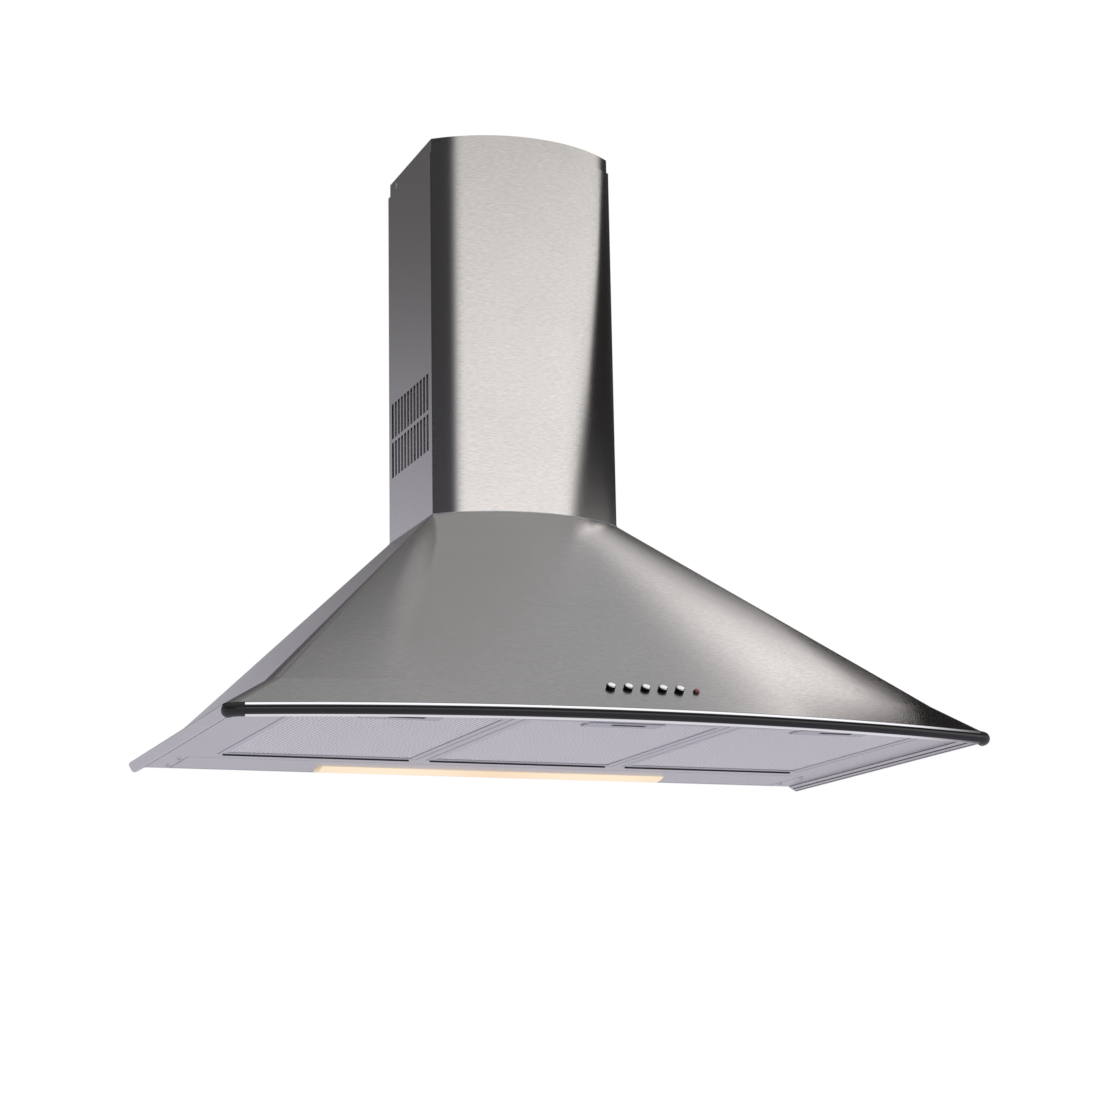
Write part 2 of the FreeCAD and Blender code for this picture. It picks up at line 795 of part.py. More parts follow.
def lamp_bulbs():
    """Two candle bulbs that lie with their caps in the holders."""
    y, z = lamp_axis()
    end = lens_width / 2 + lamp_housing_margin - sheet - holder_length + socket_depth - seat_gap
    cap_end = end - bulb_cap_length
    belly = cap_end - bulb_length * belly_share
    tip = cap_end - bulb_length
    end_radius = bulb_cap_radius * tip_share
    neck = bulb_cap_radius * neck_share
    nose = tip + (belly - tip) * nose_share
    outline = [
        V(end, 0, 0),
        V(end, 0, bulb_cap_radius),
        V(cap_end, 0, bulb_cap_radius),
        V(cap_end, 0, neck),
        V((cap_end + belly) / 2, 0, bulb_radius * shoulder_share),
        V(belly, 0, bulb_radius),
        V(nose, 0, bulb_radius * nose_width_share),
        V(tip, 0, end_radius),
        V(tip, 0, 0),
    ]
    bulb = Part.Face(Part.makePolygon(outline + outline[:1])).revolve(ORIGIN, X_AXIS, 360)
    bulb.translate(V(0, y, z))
    return Part.makeCompound([bulb, mirrored(bulb)])


def lamp_cover():
    """The bulged diffuser with two hanging tabs at its rear edge."""
    side = lens_width / 2 - swing_gap
    rear = -lens_rear - swing_gap
    front = -lens_rear - lens_length + swing_gap
    middle = (rear + front) / 2

    def bowed(inset, top):
        x = -side + inset
        near_low, near_high = V(x, front + inset, inset), V(x, front + inset, top)
        far_low, far_high = V(x, rear - inset, inset), V(x, rear - inset, top)
        outline = Part.Wire([
            Part.Arc(near_low, V(x, middle, inset - lens_bulge), far_low).toShape(),
            Part.LineSegment(far_low, far_high).toShape(),
            Part.LineSegment(far_high, near_high).toShape(),
            Part.LineSegment(near_high, near_low).toShape(),
        ])
        return Part.Face(outline).extrude(V(-2 * x, 0, 0))

    rim = lens_thickness + sheet
    shell = bowed(0, rim).cut(bowed(lens_thickness, rim + overrun))
    for x in (-lens_tab_spacing / 2, lens_tab_spacing / 2):
        tab = block(x - tab_width / 2, x + tab_width / 2, rear - lens_thickness, -lens_rear + lens_tab_reach,
                    sheet + seat_gap, sheet + seat_gap + tab_thickness)
        shell = shell.fuse(tab)
    return shell.removeSplitter()


def cover_section(inset):
    """A chimney cover's outside, drawn in from the lower cover's by an inset."""
    arc = ((chimney_width / 2) ** 2 + chimney_bulge ** 2) / (2 * chimney_bulge)
    return (chimney_width / 2 - inset, chimney_depth - inset, arc - inset, chimney_corner)


def vent_slots():
    """The cutters for the two rows of vent slots, right through both sides of the chimney."""
    reach = chimney_width / 2 + overrun
    slots = []
    for row in range(2):
        base = slot_row_base + row * (slot_height + slot_row_gap)
        for index in range(slot_count):
            y = -slot_first - index * slot_pitch
            slots.append(block(-reach, reach, y - slot_width, y, base, base + slot_height))
    return Part.makeCompound(slots)


def lower_chimney_cover():
    """The lower chimney cover, open at the wall, with two rows of vent slots on each side."""
    section = cover_section(0)
    cover = d_slab(section, canopy_height, lower_cover_top, 0)
    cover = cover.cut(d_slab(section, canopy_height - overrun, lower_cover_top + overrun, overrun, sheet))
    half = chimney_width / 2
    for side in (-1, 1):
        lip_x = min(side * half, side * (half - cover_flange))
        cover = cover.fuse(block(lip_x, lip_x + cover_flange, -sheet, 0, canopy_height, lower_cover_top))
    return cover.cut(vent_slots()).removeSplitter()


def upper_chimney_cover():
    """The upper chimney cover, which slides inside the lower one and has the same vent slots."""
    inset = sheet + slide_gap
    section = cover_section(inset)
    base = canopy_height + seat_gap
    rear = -sheet - slide_gap
    cover = d_slab(section, base, upper_cover_top, rear)
    cover = cover.cut(d_slab(section, base - overrun, upper_cover_top + overrun, overrun, sheet))
    for place in bracket_screw_places():
        cover = cover.cut(bracket_screw_hole(place))
    return cover.cut(vent_slots())


def bracket_side():
    """X of the upper cover's inner face, where the bracket's wings bear."""
    return chimney_width / 2 - 2 * sheet - slide_gap


def bracket_screw_places():
    """Where the upper cover's outer faces carry the bracket's screws."""
    x = bracket_side() + sheet
    z = upper_cover_top - bracket_drop - bracket_height / 2
    y = -sheet - slide_gap - bracket_wing + bracket_screw_inset
    return [V(-x, y, z), V(x, y, z)]


def bracket_screw_hole(place):
    """The cutter for one bracket screw's hole through a cover's side and a wing."""
    return rod(bracket_screw_radius + running_gap, place - X_AXIS * overrun, X_AXIS, 2 * overrun)


def chimney_wall_bracket():
    """The wall strip with two wings that holds the top of the upper cover."""
    z1 = upper_cover_top - bracket_drop
    z0 = z1 - bracket_height
    side = bracket_side()
    step = -sheet - slide_gap
    strip = block(-bracket_width / 2, bracket_width / 2, step, 0, z0, z1)
    jog_start = side - bracket_jog_width
    jog = block(jog_start, side, step - bracket_thickness, step, z0, z1)
    wing = block(side - bracket_thickness, side, step - bracket_wing, step, z0, z1)
    bracket = fuse([strip, jog, wing, mirrored(jog), mirrored(wing)])
    for place in bracket_screw_places():
        bracket = bracket.cut(bracket_screw_hole(place))
    for x in (-bracket_hole_spacing / 2, bracket_hole_spacing / 2):
        hole = V(x, step - overrun, (z0 + z1) / 2)
        bracket = bracket.cut(rod(bracket_hole_radius, hole, Y_AXIS, 2 * overrun))
    return bracket


def bracket_screws():
    """The two flat-head screws that fix the upper cover to the bracket."""
    screws = []
    for place in bracket_screw_places():
        outward = 1 if place.x > 0 else -1
        axis = X_AXIS * outward
        head = rod(bracket_head_radius, place, axis, bracket_head_height)
        shank = rod(bracket_screw_radius, place - axis * bracket_screw_length, axis, bracket_screw_length)
        screws.append(fuse([head, shank]))
    return Part.makeCompound(screws)


def scroll_wire(inset, y, top):
    """The blower scroll's outline at one depth, drawn in by an inset."""
    radius = [scroll_start + scroll_growth * quarter - inset for quarter in range(4)]
    right = blower_x + radius[3]
    left_wall = blower_x + scroll_start + 3 * scroll_growth - outlet_width + inset

    def at(distance, degrees):
        angle = math.radians(degrees)
        return V(blower_x + distance * math.cos(angle), y, blower_z + distance * math.sin(angle))

    tongue = V(left_wall, y, blower_z + radius[0])
    corners = [V(left_wall, y, top), V(right, y, top), at(radius[3], 0)]
    return Part.Wire([
        Part.LineSegment(corners[0], corners[1]).toShape(),
        Part.LineSegment(corners[1], corners[2]).toShape(),
        Part.Arc(corners[2], at((radius[3] + radius[2]) / 2, -45), at(radius[2], -90)).toShape(),
        Part.Arc(at(radius[2], -90), at((radius[2] + radius[1]) / 2, -135), at(radius[1], -180)).toShape(),
        Part.Arc(at(radius[1], -180), at((radius[1] + radius[0]) / 2, -225), at(radius[0], -270)).toShape(),
        Part.LineSegment(at(radius[0], -270), tongue).toShape(),
        Part.LineSegment(tongue, corners[0]).toShape(),
    ])


def outlet_screw_places():
    """X and Y of the four screws that clamp spigot, top plate and blower together."""
    half = outlet_screw_spacing / 2
    return [(outlet_x + sx * half, outlet_y + sy * half) for sx in (-1, 1) for sy in (-1, 1)]


def blower_housing():
    """The scroll housing that hangs under the top plate, open at its inlet and outlet."""
    length = blower_front - blower_back
    shell = Part.Face(scroll_wire(0, -blower_front, shell_top)).extrude(V(0, length, 0))
    hollow = Part.Face(scroll_wire(housing_wall, -blower_front + housing_wall, shell_top + overrun))
    hollow = hollow.extrude(V(0, length - 2 * housing_wall, 0))
    half = housing_flange_width / 2
    flange = block(outlet_x - half, outlet_x + half, outlet_y - half, outlet_y + half,
                   shell_top - 2 * housing_wall, shell_top)
    housing = shell.fuse(flange).cut(hollow)
    centre = V(blower_x, -blower_front - overrun, blower_z)
    housing = housing.cut(rod(inlet_radius + running_gap, centre, Y_AXIS, 2 * overrun))
    rear = V(blower_x, -blower_back - overrun, blower_z)
    housing = housing.cut(rod(motor_hole_radius, rear, Y_AXIS, 2 * overrun))
    for x, y in outlet_screw_places():
        housing = housing.cut(rod(outlet_screw_radius + running_gap, V(x, y, shell_top - 2 * overrun), Z_AXIS,
                                  3 * overrun))
    return housing.removeSplitter()


def blower_inlet_ring():
    """The rounded inlet ring on the housing's front face."""
    outer = inlet_radius + inlet_ring_width
    front = -blower_front - housing_wall
    centre = V(blower_x, front, blower_z)
    flange = rod(outer, centre, Y_AXIS, housing_wall)
    lip = rod(inlet_radius, centre, Y_AXIS, housing_wall + inlet_lip_depth)
    ring = fuse([flange, lip])
    throat = inlet_radius - housing_wall
    bore = rod(throat, centre - Y_AXIS * overrun, Y_AXIS, inlet_lip_depth + 2 * overrun)
    mouth = Part.makeCone(throat + housing_wall, throat, housing_wall, centre, Y_AXIS)
    return ring.cut(bore).cut(mouth)


def wheel_levels():
    """Y of the wheel's front edge and of its back plate's rear face."""
    rear = -blower_back - wheel_back_gap
    return rear - wheel_length, rear


def fan_wheel():
    """The fan wheel's cage: forward-curved blades between a front and a rear ring."""
    front, rear = wheel_levels()
    length = wheel_length - wheel_plate
    inner_radius = wheel_radius - blade_ring_width
    centre = V(blower_x, 0, blower_z)
    rings = []
    for y in (front, rear - wheel_plate - wheel_ring):
        ring = rod(wheel_radius, centre + Y_AXIS * y, Y_AXIS, wheel_ring)
        rings.append(ring.cut(rod(inner_radius, centre + Y_AXIS * (y - overrun), Y_AXIS, 2 * overrun)))
    blade_outer = wheel_radius - blade_thickness / 2
    blade_inner = inner_radius + blade_thickness / 2
    middle = (blade_outer + blade_inner) / 2

    def at(radius, side):
        return V(blower_x + radius, front, blower_z + side)

    half = blade_thickness / 2
    blade = Part.Wire([
        Part.Arc(at(blade_inner, -half), at(middle, -half - blade_sweep), at(blade_outer, -half)).toShape(),
        Part.LineSegment(at(blade_outer, -half), at(blade_outer, half)).toShape(),
        Part.Arc(at(blade_outer, half), at(middle, half - blade_sweep), at(blade_inner, half)).toShape(),
        Part.LineSegment(at(blade_inner, half), at(blade_inner, -half)).toShape(),
    ])
    blade = Part.Face(blade).extrude(V(0, length, 0))
    blades = []
    for index in range(blade_count):
        turned = blade.copy()
        turned.rotate(centre, Y_AXIS, 360 * index / blade_count)
        blades.append(turned)
    return fuse(rings + blades)


def fan_hub():
    """The wheel's back plate with the hub that takes the shaft."""
    rear = wheel_levels()[1]
    centre = V(blower_x, 0, blower_z)
    plate = rod(wheel_radius, centre + Y_AXIS * (rear - wheel_plate), Y_AXIS, wheel_plate)
    hub = rod(hub_radius, centre + Y_AXIS * (rear - hub_length), Y_AXIS, hub_length)
    start = centre + Y_AXIS * (rear - hub_length - overrun)
    return fuse([plate, hub]).cut(rod(shaft_radius + running_gap, start, Y_AXIS, hub_length + 2 * overrun))


def motor_levels():
    """Y of the motor flange's front face, its boss's front face and its rear end."""
    flange = -blower_back
    boss = flange - motor_boss_length
    return flange, boss, flange + motor_length


def fan_shaft():
    """The steel shaft from the motor into the wheel's hub."""
    front, rear = wheel_levels()
    boss = motor_levels()[1]
    start = V(blower_x, rear - hub_length, blower_z)
    length = boss + motor_bore_depth - seat_gap - start.y
    return rod(shaft_radius, start, Y_AXIS, length)


def motor_screw_places():
    """X and Z of the motor's screws on their circle."""
    angles = [math.radians(45 + 90 * index) for index in range(4)]
    return [(blower_x + motor_screw_circle * math.cos(angle), blower_z + motor_screw_circle * math.sin(angle))
            for angle in angles]


def blower_motor():
    """The motor: a can on a round flange, with a bearing boss and a shaft bore."""
    flange_y, boss_y, end_y = motor_levels()
    flange = rod(motor_flange_radius, V(blower_x, flange_y, blower_z), Y_AXIS, motor_flange)
    can = rod(motor_radius, V(blower_x, flange_y, blower_z), Y_AXIS, end_y - flange_y)
    can = can.makeChamfer(motor_edge, [edge for edge in can.Edges if edge.BoundBox.YMin > end_y - seat_gap])
    boss = rod(motor_boss_radius, V(blower_x, boss_y, blower_z), Y_AXIS, flange_y - boss_y)
    motor = fuse([flange, can, boss])
    for x, z in motor_screw_places():
        hole = V(x, flange_y - overrun, z)
        motor = motor.cut(rod(motor_screw_radius + screw_gap, hole, Y_AXIS, motor_flange + 2 * overrun))
    return motor.cut(rod(shaft_radius + running_gap, V(blower_x, boss_y - overrun, blower_z), Y_AXIS,
                         motor_bore_depth + overrun))


def motor_screws():
    """The four screws that hold the motor flange to the housing."""
    flange_y = motor_levels()[0]
    screws = []
    for x, z in motor_screw_places():
        head = rod(outlet_head_radius, V(x, flange_y + motor_flange, z), Y_AXIS, outlet_head_height)
        shank = rod(motor_screw_radius, V(x, flange_y, z), Y_AXIS, motor_flange)
        screws.append(fuse([head, shank]))
    return Part.makeCompound(screws)


def motor_capacitor():
    """The motor's round capacitor, upright against the back panel."""
    y = -sheet - capacitor_radius - clip_thickness
    can = rod(capacitor_radius, V(capacitor_x, y, capacitor_z), Z_AXIS, capacitor_length)
    return can.makeChamfer(clip_thickness, can.Edges[0:1])


def capacitor_clip():
    """The ring clip that holds the capacitor to the back panel."""
    y = -sheet - capacitor_radius - clip_thickness
    z = capacitor_z + (capacitor_length - clip_height) / 2
    centre = V(capacitor_x, y, z)
    ring = rod(capacitor_radius + clip_thickness, centre, Z_AXIS, clip_height)
    half = capacitor_radius
    foot = block(capacitor_x - half, capacitor_x + half, -sheet - clip_thickness, -sheet, z, z + clip_height)
    return fuse([ring, foot]).cut(rod(capacitor_radius + running_gap, centre - Z_AXIS * overrun, Z_AXIS,
                                      clip_height + 2 * overrun))


def flap_pin_z():
    """Height of the flaps' hinge pin."""
    return canopy_height + spigot_base_thickness + seat_gap + flap_pin_height


def outlet_spigot():
    """The round duct collar on its square base, with holes for the flap pin."""
    half = spigot_base_width / 2
    base = block(outlet_x - half, outlet_x + half, outlet_y - half, outlet_y + half, canopy_height,
                 canopy_height + spigot_base_thickness)
    foot = V(outlet_x, outlet_y, canopy_height)
    tube = rod(duct_radius, foot, Z_AXIS, spigot_base_thickness + spigot_height)
    inner = duct_radius - spigot_wall
    spigot = fuse([base, tube])
    spigot = spigot.cut(rod(inner - spigot_step, foot - Z_AXIS * overrun, Z_AXIS, spigot_height))
    spigot = spigot.cut(rod(inner, foot + Z_AXIS * spigot_base_thickness, Z_AXIS, spigot_height + overrun))
    pin = V(outlet_x, outlet_y - duct_radius - overrun, flap_pin_z())
    spigot = spigot.cut(rod(flap_pin_radius + running_gap, pin, Y_AXIS, 2 * (duct_radius + overrun)))
    for x, y in outlet_screw_places():
        spigot = spigot.cut(rod(outlet_screw_radius + screw_gap, V(x, y, canopy_height - overrun), Z_AXIS,
                                2 * overrun))
    return spigot


def flap_pin():
    """The pin across the spigot on which both flaps turn."""
    return rod(flap_pin_radius, V(outlet_x, outlet_y - duct_radius, flap_pin_z()), Y_AXIS, 2 * duct_radius)


def flap_right():
    """The right-hand non-return flap with its two knuckles."""
    radius = duct_radius - spigot_wall - flap_edge_gap
    base = canopy_height + spigot_base_thickness + seat_gap
    pin_z = flap_pin_z()
    clear = knuckle_radius + seat_gap
    disc = rod(radius, V(outlet_x, outlet_y, base), Z_AXIS, flap_thickness)
    plate = disc.common(block(outlet_x + clear, outlet_x + radius, outlet_y - radius, outlet_y + radius, base,
                              base + flap_thickness))
    pieces = [plate]
    for station in (-knuckle_spread, knuckle_spread):
        y = outlet_y + station + seat_gap / 2
        pieces.append(rod(knuckle_radius, V(outlet_x, y, pin_z), Y_AXIS, knuckle_length))
        pieces.append(block(outlet_x, outlet_x + clear + flap_thickness, y, y + knuckle_length, base,
                            base + flap_thickness))
    bore = rod(flap_pin_radius + running_gap, V(outlet_x, outlet_y - radius, pin_z), Y_AXIS, 2 * radius)
    return fuse(pieces).cut(bore)


def flap_left():
    """The left-hand flap: the right-hand one turned half round about the spigot's middle."""
    flap = flap_right()
    flap.rotate(V(outlet_x, outlet_y, 0), Z_AXIS, 180)
    return flap


def outlet_screws():
    """The four screws through spigot base, top plate and blower flange."""
    top = canopy_height + spigot_base_thickness
    screws = []
    for x, y in outlet_screw_places():
        head = rod(outlet_head_radius, V(x, y, top), Z_AXIS, outlet_head_height)
        shank = rod(outlet_screw_radius, V(x, y, top - outlet_screw_length), Z_AXIS, outlet_screw_length)
        screws.append(fuse([head, shank]))
    return Part.makeCompound(screws)


def terminal_box():
    """The box under the top plate where the supply cable is joined."""
    half = terminal_width / 2
    length = terminal_length / 2
    box = block(terminal_x - half, terminal_x + half, terminal_y - length, terminal_y + length,
                shell_top - terminal_height, shell_top)
    wall = 2 * gland_wall
    hollow = block(terminal_x - half + wall, terminal_x + half - wall, terminal_y - length + wall,
                   terminal_y + length - wall, shell_top - terminal_height + wall, shell_top + overrun)
    return box.cut(hollow)


def cable_gland():
    """The cable gland through the top plate, with a clear bore for the cable."""
    foot = V(terminal_x, terminal_y, canopy_height)
    collar = rod(gland_radius, foot, Z_AXIS, gland_height)
    collar = collar.makeChamfer(gland_wall, [edge for edge in collar.Edges
                                             if edge.BoundBox.ZMin > foot.z + gland_height - seat_gap])
    stem = rod(gland_stem_radius, foot - Z_AXIS * (sheet + gland_flange), Z_AXIS, sheet + gland_flange)
    lock = rod(gland_radius, foot - Z_AXIS * (sheet + gland_flange), Z_AXIS, gland_flange)
    low = foot - Z_AXIS * (sheet + gland_flange + overrun)
    bore = rod(gland_bore_radius, low, Z_AXIS, sheet + gland_flange + gland_height + 2 * overrun)
    return fuse([collar, stem, lock]).cut(bore)


def tilted(shape):
    """Takes a shape from the button row's own axes, Z outward, to its place on the panel."""
    placed = shape.copy()
    placed.rotate(ORIGIN, X_AXIS, math.degrees(panel_angle))
    placed.translate(V(0, -canopy_section(button_z)[1], button_z))
    return placed


def panel_hole(x, radius):
    """The cutter for a round hole in the button row, a little wider than what it takes."""
    return tilted(rod(radius + button_gap, V(x, 0, -overrun), Z_AXIS, 2 * overrun))


def panel_depth(x):
    """How far the front panel's inner face lies behind the button row's plane at an X."""
    arc = canopy_section(button_z)[2]
    return (arc - math.sqrt(arc ** 2 - x ** 2) + wall_inset) * math.sin(panel_angle)


def button_places():
    """X of each push button."""
    count = len(button_names)
    first = button_row_x - button_pitch * (count - 1) / 2
    return [first + button_pitch * index for index in range(count)]


def indicator_place():
    """X of the indicator, one step beyond the last button."""
    return button_places()[-1] + button_pitch


def push_button(x):
    """A round push button with its stop shoulder and stem."""
    cap = rod(button_radius, V(x, 0, -shoulder_depth), Z_AXIS, shoulder_depth + button_reach)
    rim = [edge for edge in cap.Edges if edge.BoundBox.ZMin > button_reach - seat_gap]
    cap = cap.makeFillet(button_edge, rim)
    shoulder = rod(shoulder_radius, V(x, 0, -shoulder_depth - shoulder_thickness), Z_AXIS, shoulder_thickness)
    stem = rod(stem_radius, V(x, 0, -stem_depth), Z_AXIS, stem_depth - shoulder_depth)
    return tilted(fuse([cap, shoulder, stem]))


def switch_box():
    """The switch bank behind the buttons, with a bore for each stem and two posts."""
    left = button_places()[0] - box_margin
    right = indicator_place() + box_margin
    box = block(left, right, -box_below, box_above, -box_depth, -box_front)
    posts = []
    for x in (left + post_margin, right - post_margin):
        length = box_front - panel_depth(abs(x) + post_radius) - seat_gap
        posts.append(rod(post_radius, V(x, (box_above - box_below) / 2, -box_front), Z_AXIS, length))
    box = fuse([box] + posts)
    for x in button_places():
        box = box.cut(rod(stem_radius + button_gap, V(x, 0, -stem_bore_depth), Z_AXIS, stem_bore_depth))
    return tilted(box)


def indicator_lens():
    """The red indicator: a small dome on a stem that stands on the switch bank."""
    x = indicator_place()
    stem = rod(indicator_radius, V(x, 0, -box_front), Z_AXIS, box_front)
    dome = Part.makeSphere(indicator_radius, V(x, 0, 0), Z_AXIS, 0, 90, 360)
    above = block(x - overrun, x + overrun, -overrun, overrun, indicator_dome, indicator_radius + overrun)
    return tilted(stem.fuse(dome).cut(above).removeSplitter())


def build():
    """Makes every sub-part and writes it."""
    os.makedirs("parts", exist_ok=True)
    side = canopy_side_panel()
    cap = rail_end_cap()
    save("canopy_front_panel", canopy_front_panel())
    save("canopy_right_panel", side)
    save("canopy_left_panel", mirrored(side))
    save("back_panel", back_panel())
    save("top_plate", top_plate())
    save("front_rail", front_rail())
    save("rail_end_cap_right", cap)
    save("rail_end_cap_left", mirrored(cap))
    save("rail_nuts", rail_nuts())
    save("underside_frame", underside_frame())
    for name, x in zip(filter_names, filter_places()):
        save(f"filter_{name}_frame", filter_frame(x))
        save(f"filter_{name}_mesh", filter_mesh(x))
        save(f"filter_{name}_core", filter_core(x))
        save(f"filter_{name}_latch_housing", latch_housing(x))
        save(f"filter_{name}_latch", latch_slider(x))
    save("lamp_panel", lamp_panel())
    save("lamp_panel_screws", lamp_panel_screws())
    save("lamp_housing", lamp_housing())
    save("lamp_holders", lamp_holders())
    save("lamp_bulbs", lamp_bulbs())
    save("lamp_cover", lamp_cover())
    save("lower_chimney_cover", lower_chimney_cover())
    save("upper_chimney_cover", upper_chimney_cover())
    save("chimney_wall_bracket", chimney_wall_bracket())
    save("bracket_screws", bracket_screws())
    save("blower_housing", blower_housing())
    save("blower_inlet_ring", blower_inlet_ring())
    save("fan_wheel", fan_wheel())
    save("fan_hub", fan_hub())
    save("fan_shaft", fan_shaft())
    save("blower_motor", blower_motor())
    save("motor_screws", motor_screws())
    save("motor_capacitor", motor_capacitor())
    save("capacitor_clip", capacitor_clip())
    save("outlet_spigot", outlet_spigot())
    save("flap_pin", flap_pin())
    save("flap_right", flap_right())
    save("flap_left", flap_left())
    save("outlet_screws", outlet_screws())
    save("terminal_box", terminal_box())
    save("cable_gland", cable_gland())
    for name, x in zip(button_names, button_places()):
        save(f"button_{name}", push_button(x))
    save("switch_box", switch_box())
    save("indicator_lens", indicator_lens())


build()
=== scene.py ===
# %% [markdown]
# # A wall-mounted chimney hood in brushed steel
# The imported hood comes in as a fixed frame: every sheet, screw and filter already has its true size and
# place. This lesson gives each sheet the finish that its maker gave it, and adds what is too fine for the
# frame: the expanded mesh of the grease filters, and painted shade behind the vent slots, in the folds of
# the hem, at the rear of the filters and in the crossed recesses of the screws.

# %% Load the imported hood
import math

import bpy
from mathutils import Matrix, Vector


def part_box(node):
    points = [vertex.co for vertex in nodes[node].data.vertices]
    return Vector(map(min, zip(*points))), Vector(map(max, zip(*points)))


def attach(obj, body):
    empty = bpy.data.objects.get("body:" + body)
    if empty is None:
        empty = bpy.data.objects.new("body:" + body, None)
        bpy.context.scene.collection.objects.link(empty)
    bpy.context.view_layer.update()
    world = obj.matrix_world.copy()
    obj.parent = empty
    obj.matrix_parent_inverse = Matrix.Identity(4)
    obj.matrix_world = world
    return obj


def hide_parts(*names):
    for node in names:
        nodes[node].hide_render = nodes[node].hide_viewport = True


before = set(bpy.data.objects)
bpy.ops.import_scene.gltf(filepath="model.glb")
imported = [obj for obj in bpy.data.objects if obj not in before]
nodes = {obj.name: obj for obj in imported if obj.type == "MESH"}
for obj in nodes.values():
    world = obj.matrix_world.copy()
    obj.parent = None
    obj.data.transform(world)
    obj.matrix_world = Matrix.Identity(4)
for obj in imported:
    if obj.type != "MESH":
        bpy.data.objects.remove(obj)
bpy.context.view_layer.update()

# %% [markdown]
# ## The camera
# The picture was taken from below the hood and from its left, with a longish lens, so the upright edges
# of the chimney stay nearly parallel. The camera has the same place, turn and lens here. Its turn is
# written as three angles, because those are easier to think about than a matrix: sideways, upwards and a
# slight roll.

# %% Place the camera
camera_place = Vector((-1.0313, -2.9137, -0.3863))
camera_turn = math.radians(21.182)
camera_rise = math.radians(12.374)
camera_roll = math.radians(-1.028)
picture_width = 1100
focal_pixels = 2463


def camera_axes(turn, rise, roll):
    """The camera's right, up and forward directions in the room."""
    forward = Vector((math.sin(turn) * math.cos(rise), math.cos(turn) * math.cos(rise), math.sin(rise)))
    level = Vector((math.cos(turn), -math.sin(turn), 0))
    upright = level.cross(forward)
    right = level * math.cos(roll) + upright * math.sin(roll)
    return right, right.cross(forward), forward


right, up, forward = camera_axes(camera_turn, camera_rise, camera_roll)
camera = bpy.data.cameras.new("camera")
camera.lens = camera.sensor_width * focal_pixels / picture_width
camera_object = bpy.data.objects.new("camera", camera)
camera_axes_matrix = Matrix((right, up, -forward)).transposed().to_4x4()
camera_object.matrix_world = Matrix.Translation(camera_place) @ camera_axes_matrix
bpy.context.scene.collection.objects.link(camera_object)
bpy.context.scene.camera = camera_object
bpy.context.scene.view_settings.view_transform = "Standard"
print("lens", round(camera.lens, 2), "mm")

# %% [markdown]
# ## Two small tools
# Every finish below is a tree of nodes, and every colour is written as the hex value that one would pick
# in a paint program. Blender works in linear light, so one function turns hex to linear. One more adds a
# node, sets what it is given and links what is a socket, which keeps the recipes short enough to read.

# %% Tools for colours and nodes
def hex_colour(text):
    """A linear colour with full alpha from an sRGB hex value, by the sRGB curve."""
    shares = [int(text[place:place + 2], 16) / 255 for place in (1, 3, 5)]
    linear = [share / 12.92 if share <= 0.04045 else ((share + 0.055) / 1.055) ** 2.4 for share in shares]
    return (*linear, 1)


def add(tree, kind, inputs=None, **settings):
    """Adds a node, sets its settings, and fills its inputs with values or with other nodes' outputs."""
    node = tree.nodes.new(kind)
    for name, value in settings.items():
        setattr(node, name, value)
    for name, value in (inputs or {}).items():
        if isinstance(value, bpy.types.NodeSocket):
            tree.links.new(value, node.inputs[name])
        else:
            node.inputs[name].default_value = value
    return node


print("a steel grey in linear light", [round(value, 3) for value in hex_colour("#cecbc7")])

# %% [markdown]
# ## The studio
# Brushed steel has hardly any colour of its own: what one sees on it is the room. A photographer lights
# it with a wide bright screen in front and a small lamp high behind it on the right, draws its edges with
# a black card on each side, and leaves the ceiling grey and the floor pale. Screens could be built as
# planes, but a world that says how bright each direction is does the same with less noise. The camera and
# glass see plain white, metal sees the screens, and soft surfaces get one even light, at which a colour
# looks as it is written.

# %% Light the studio
world = bpy.data.worlds.new("studio")
bpy.context.scene.world = world
world.use_nodes = True
studio = world.node_tree
studio.nodes.clear()


def math_node(tree, operation, first, second=0.0, clamp=False):
    """The result of one sum on two values or sockets."""
    node = add(tree, "ShaderNodeMath", operation=operation, use_clamp=clamp)
    for socket, value in zip(node.inputs, (first, second)):
        if isinstance(value, bpy.types.NodeSocket):
            tree.links.new(value, socket)
        else:
            socket.default_value = value
    return node.outputs[0]


def ramp_up(tree, value, start, end):
    """Rises softly from 0 to 1 between two values, or falls where end is below start."""
    node = add(tree, "ShaderNodeMapRange", {"Value": value, "From Min": start, "From Max": end},
               interpolation_type="SMOOTHSTEP")
    return node.outputs["Result"]


direction = add(studio, "ShaderNodeTexCoord").outputs["Generated"]
parts = add(studio, "ShaderNodeSeparateXYZ", {"Vector": direction})
towards_front = math_node(studio, "MULTIPLY", parts.outputs["Y"], -1.0)
turned = math_node(studio, "ARCTAN2", parts.outputs["X"], towards_front)
azimuth = math_node(studio, "MULTIPLY", turned, math.degrees(1))
elevation = math_node(studio, "MULTIPLY", math_node(studio, "ARCSINE", parts.outputs["Z"]), math.degrees(1))

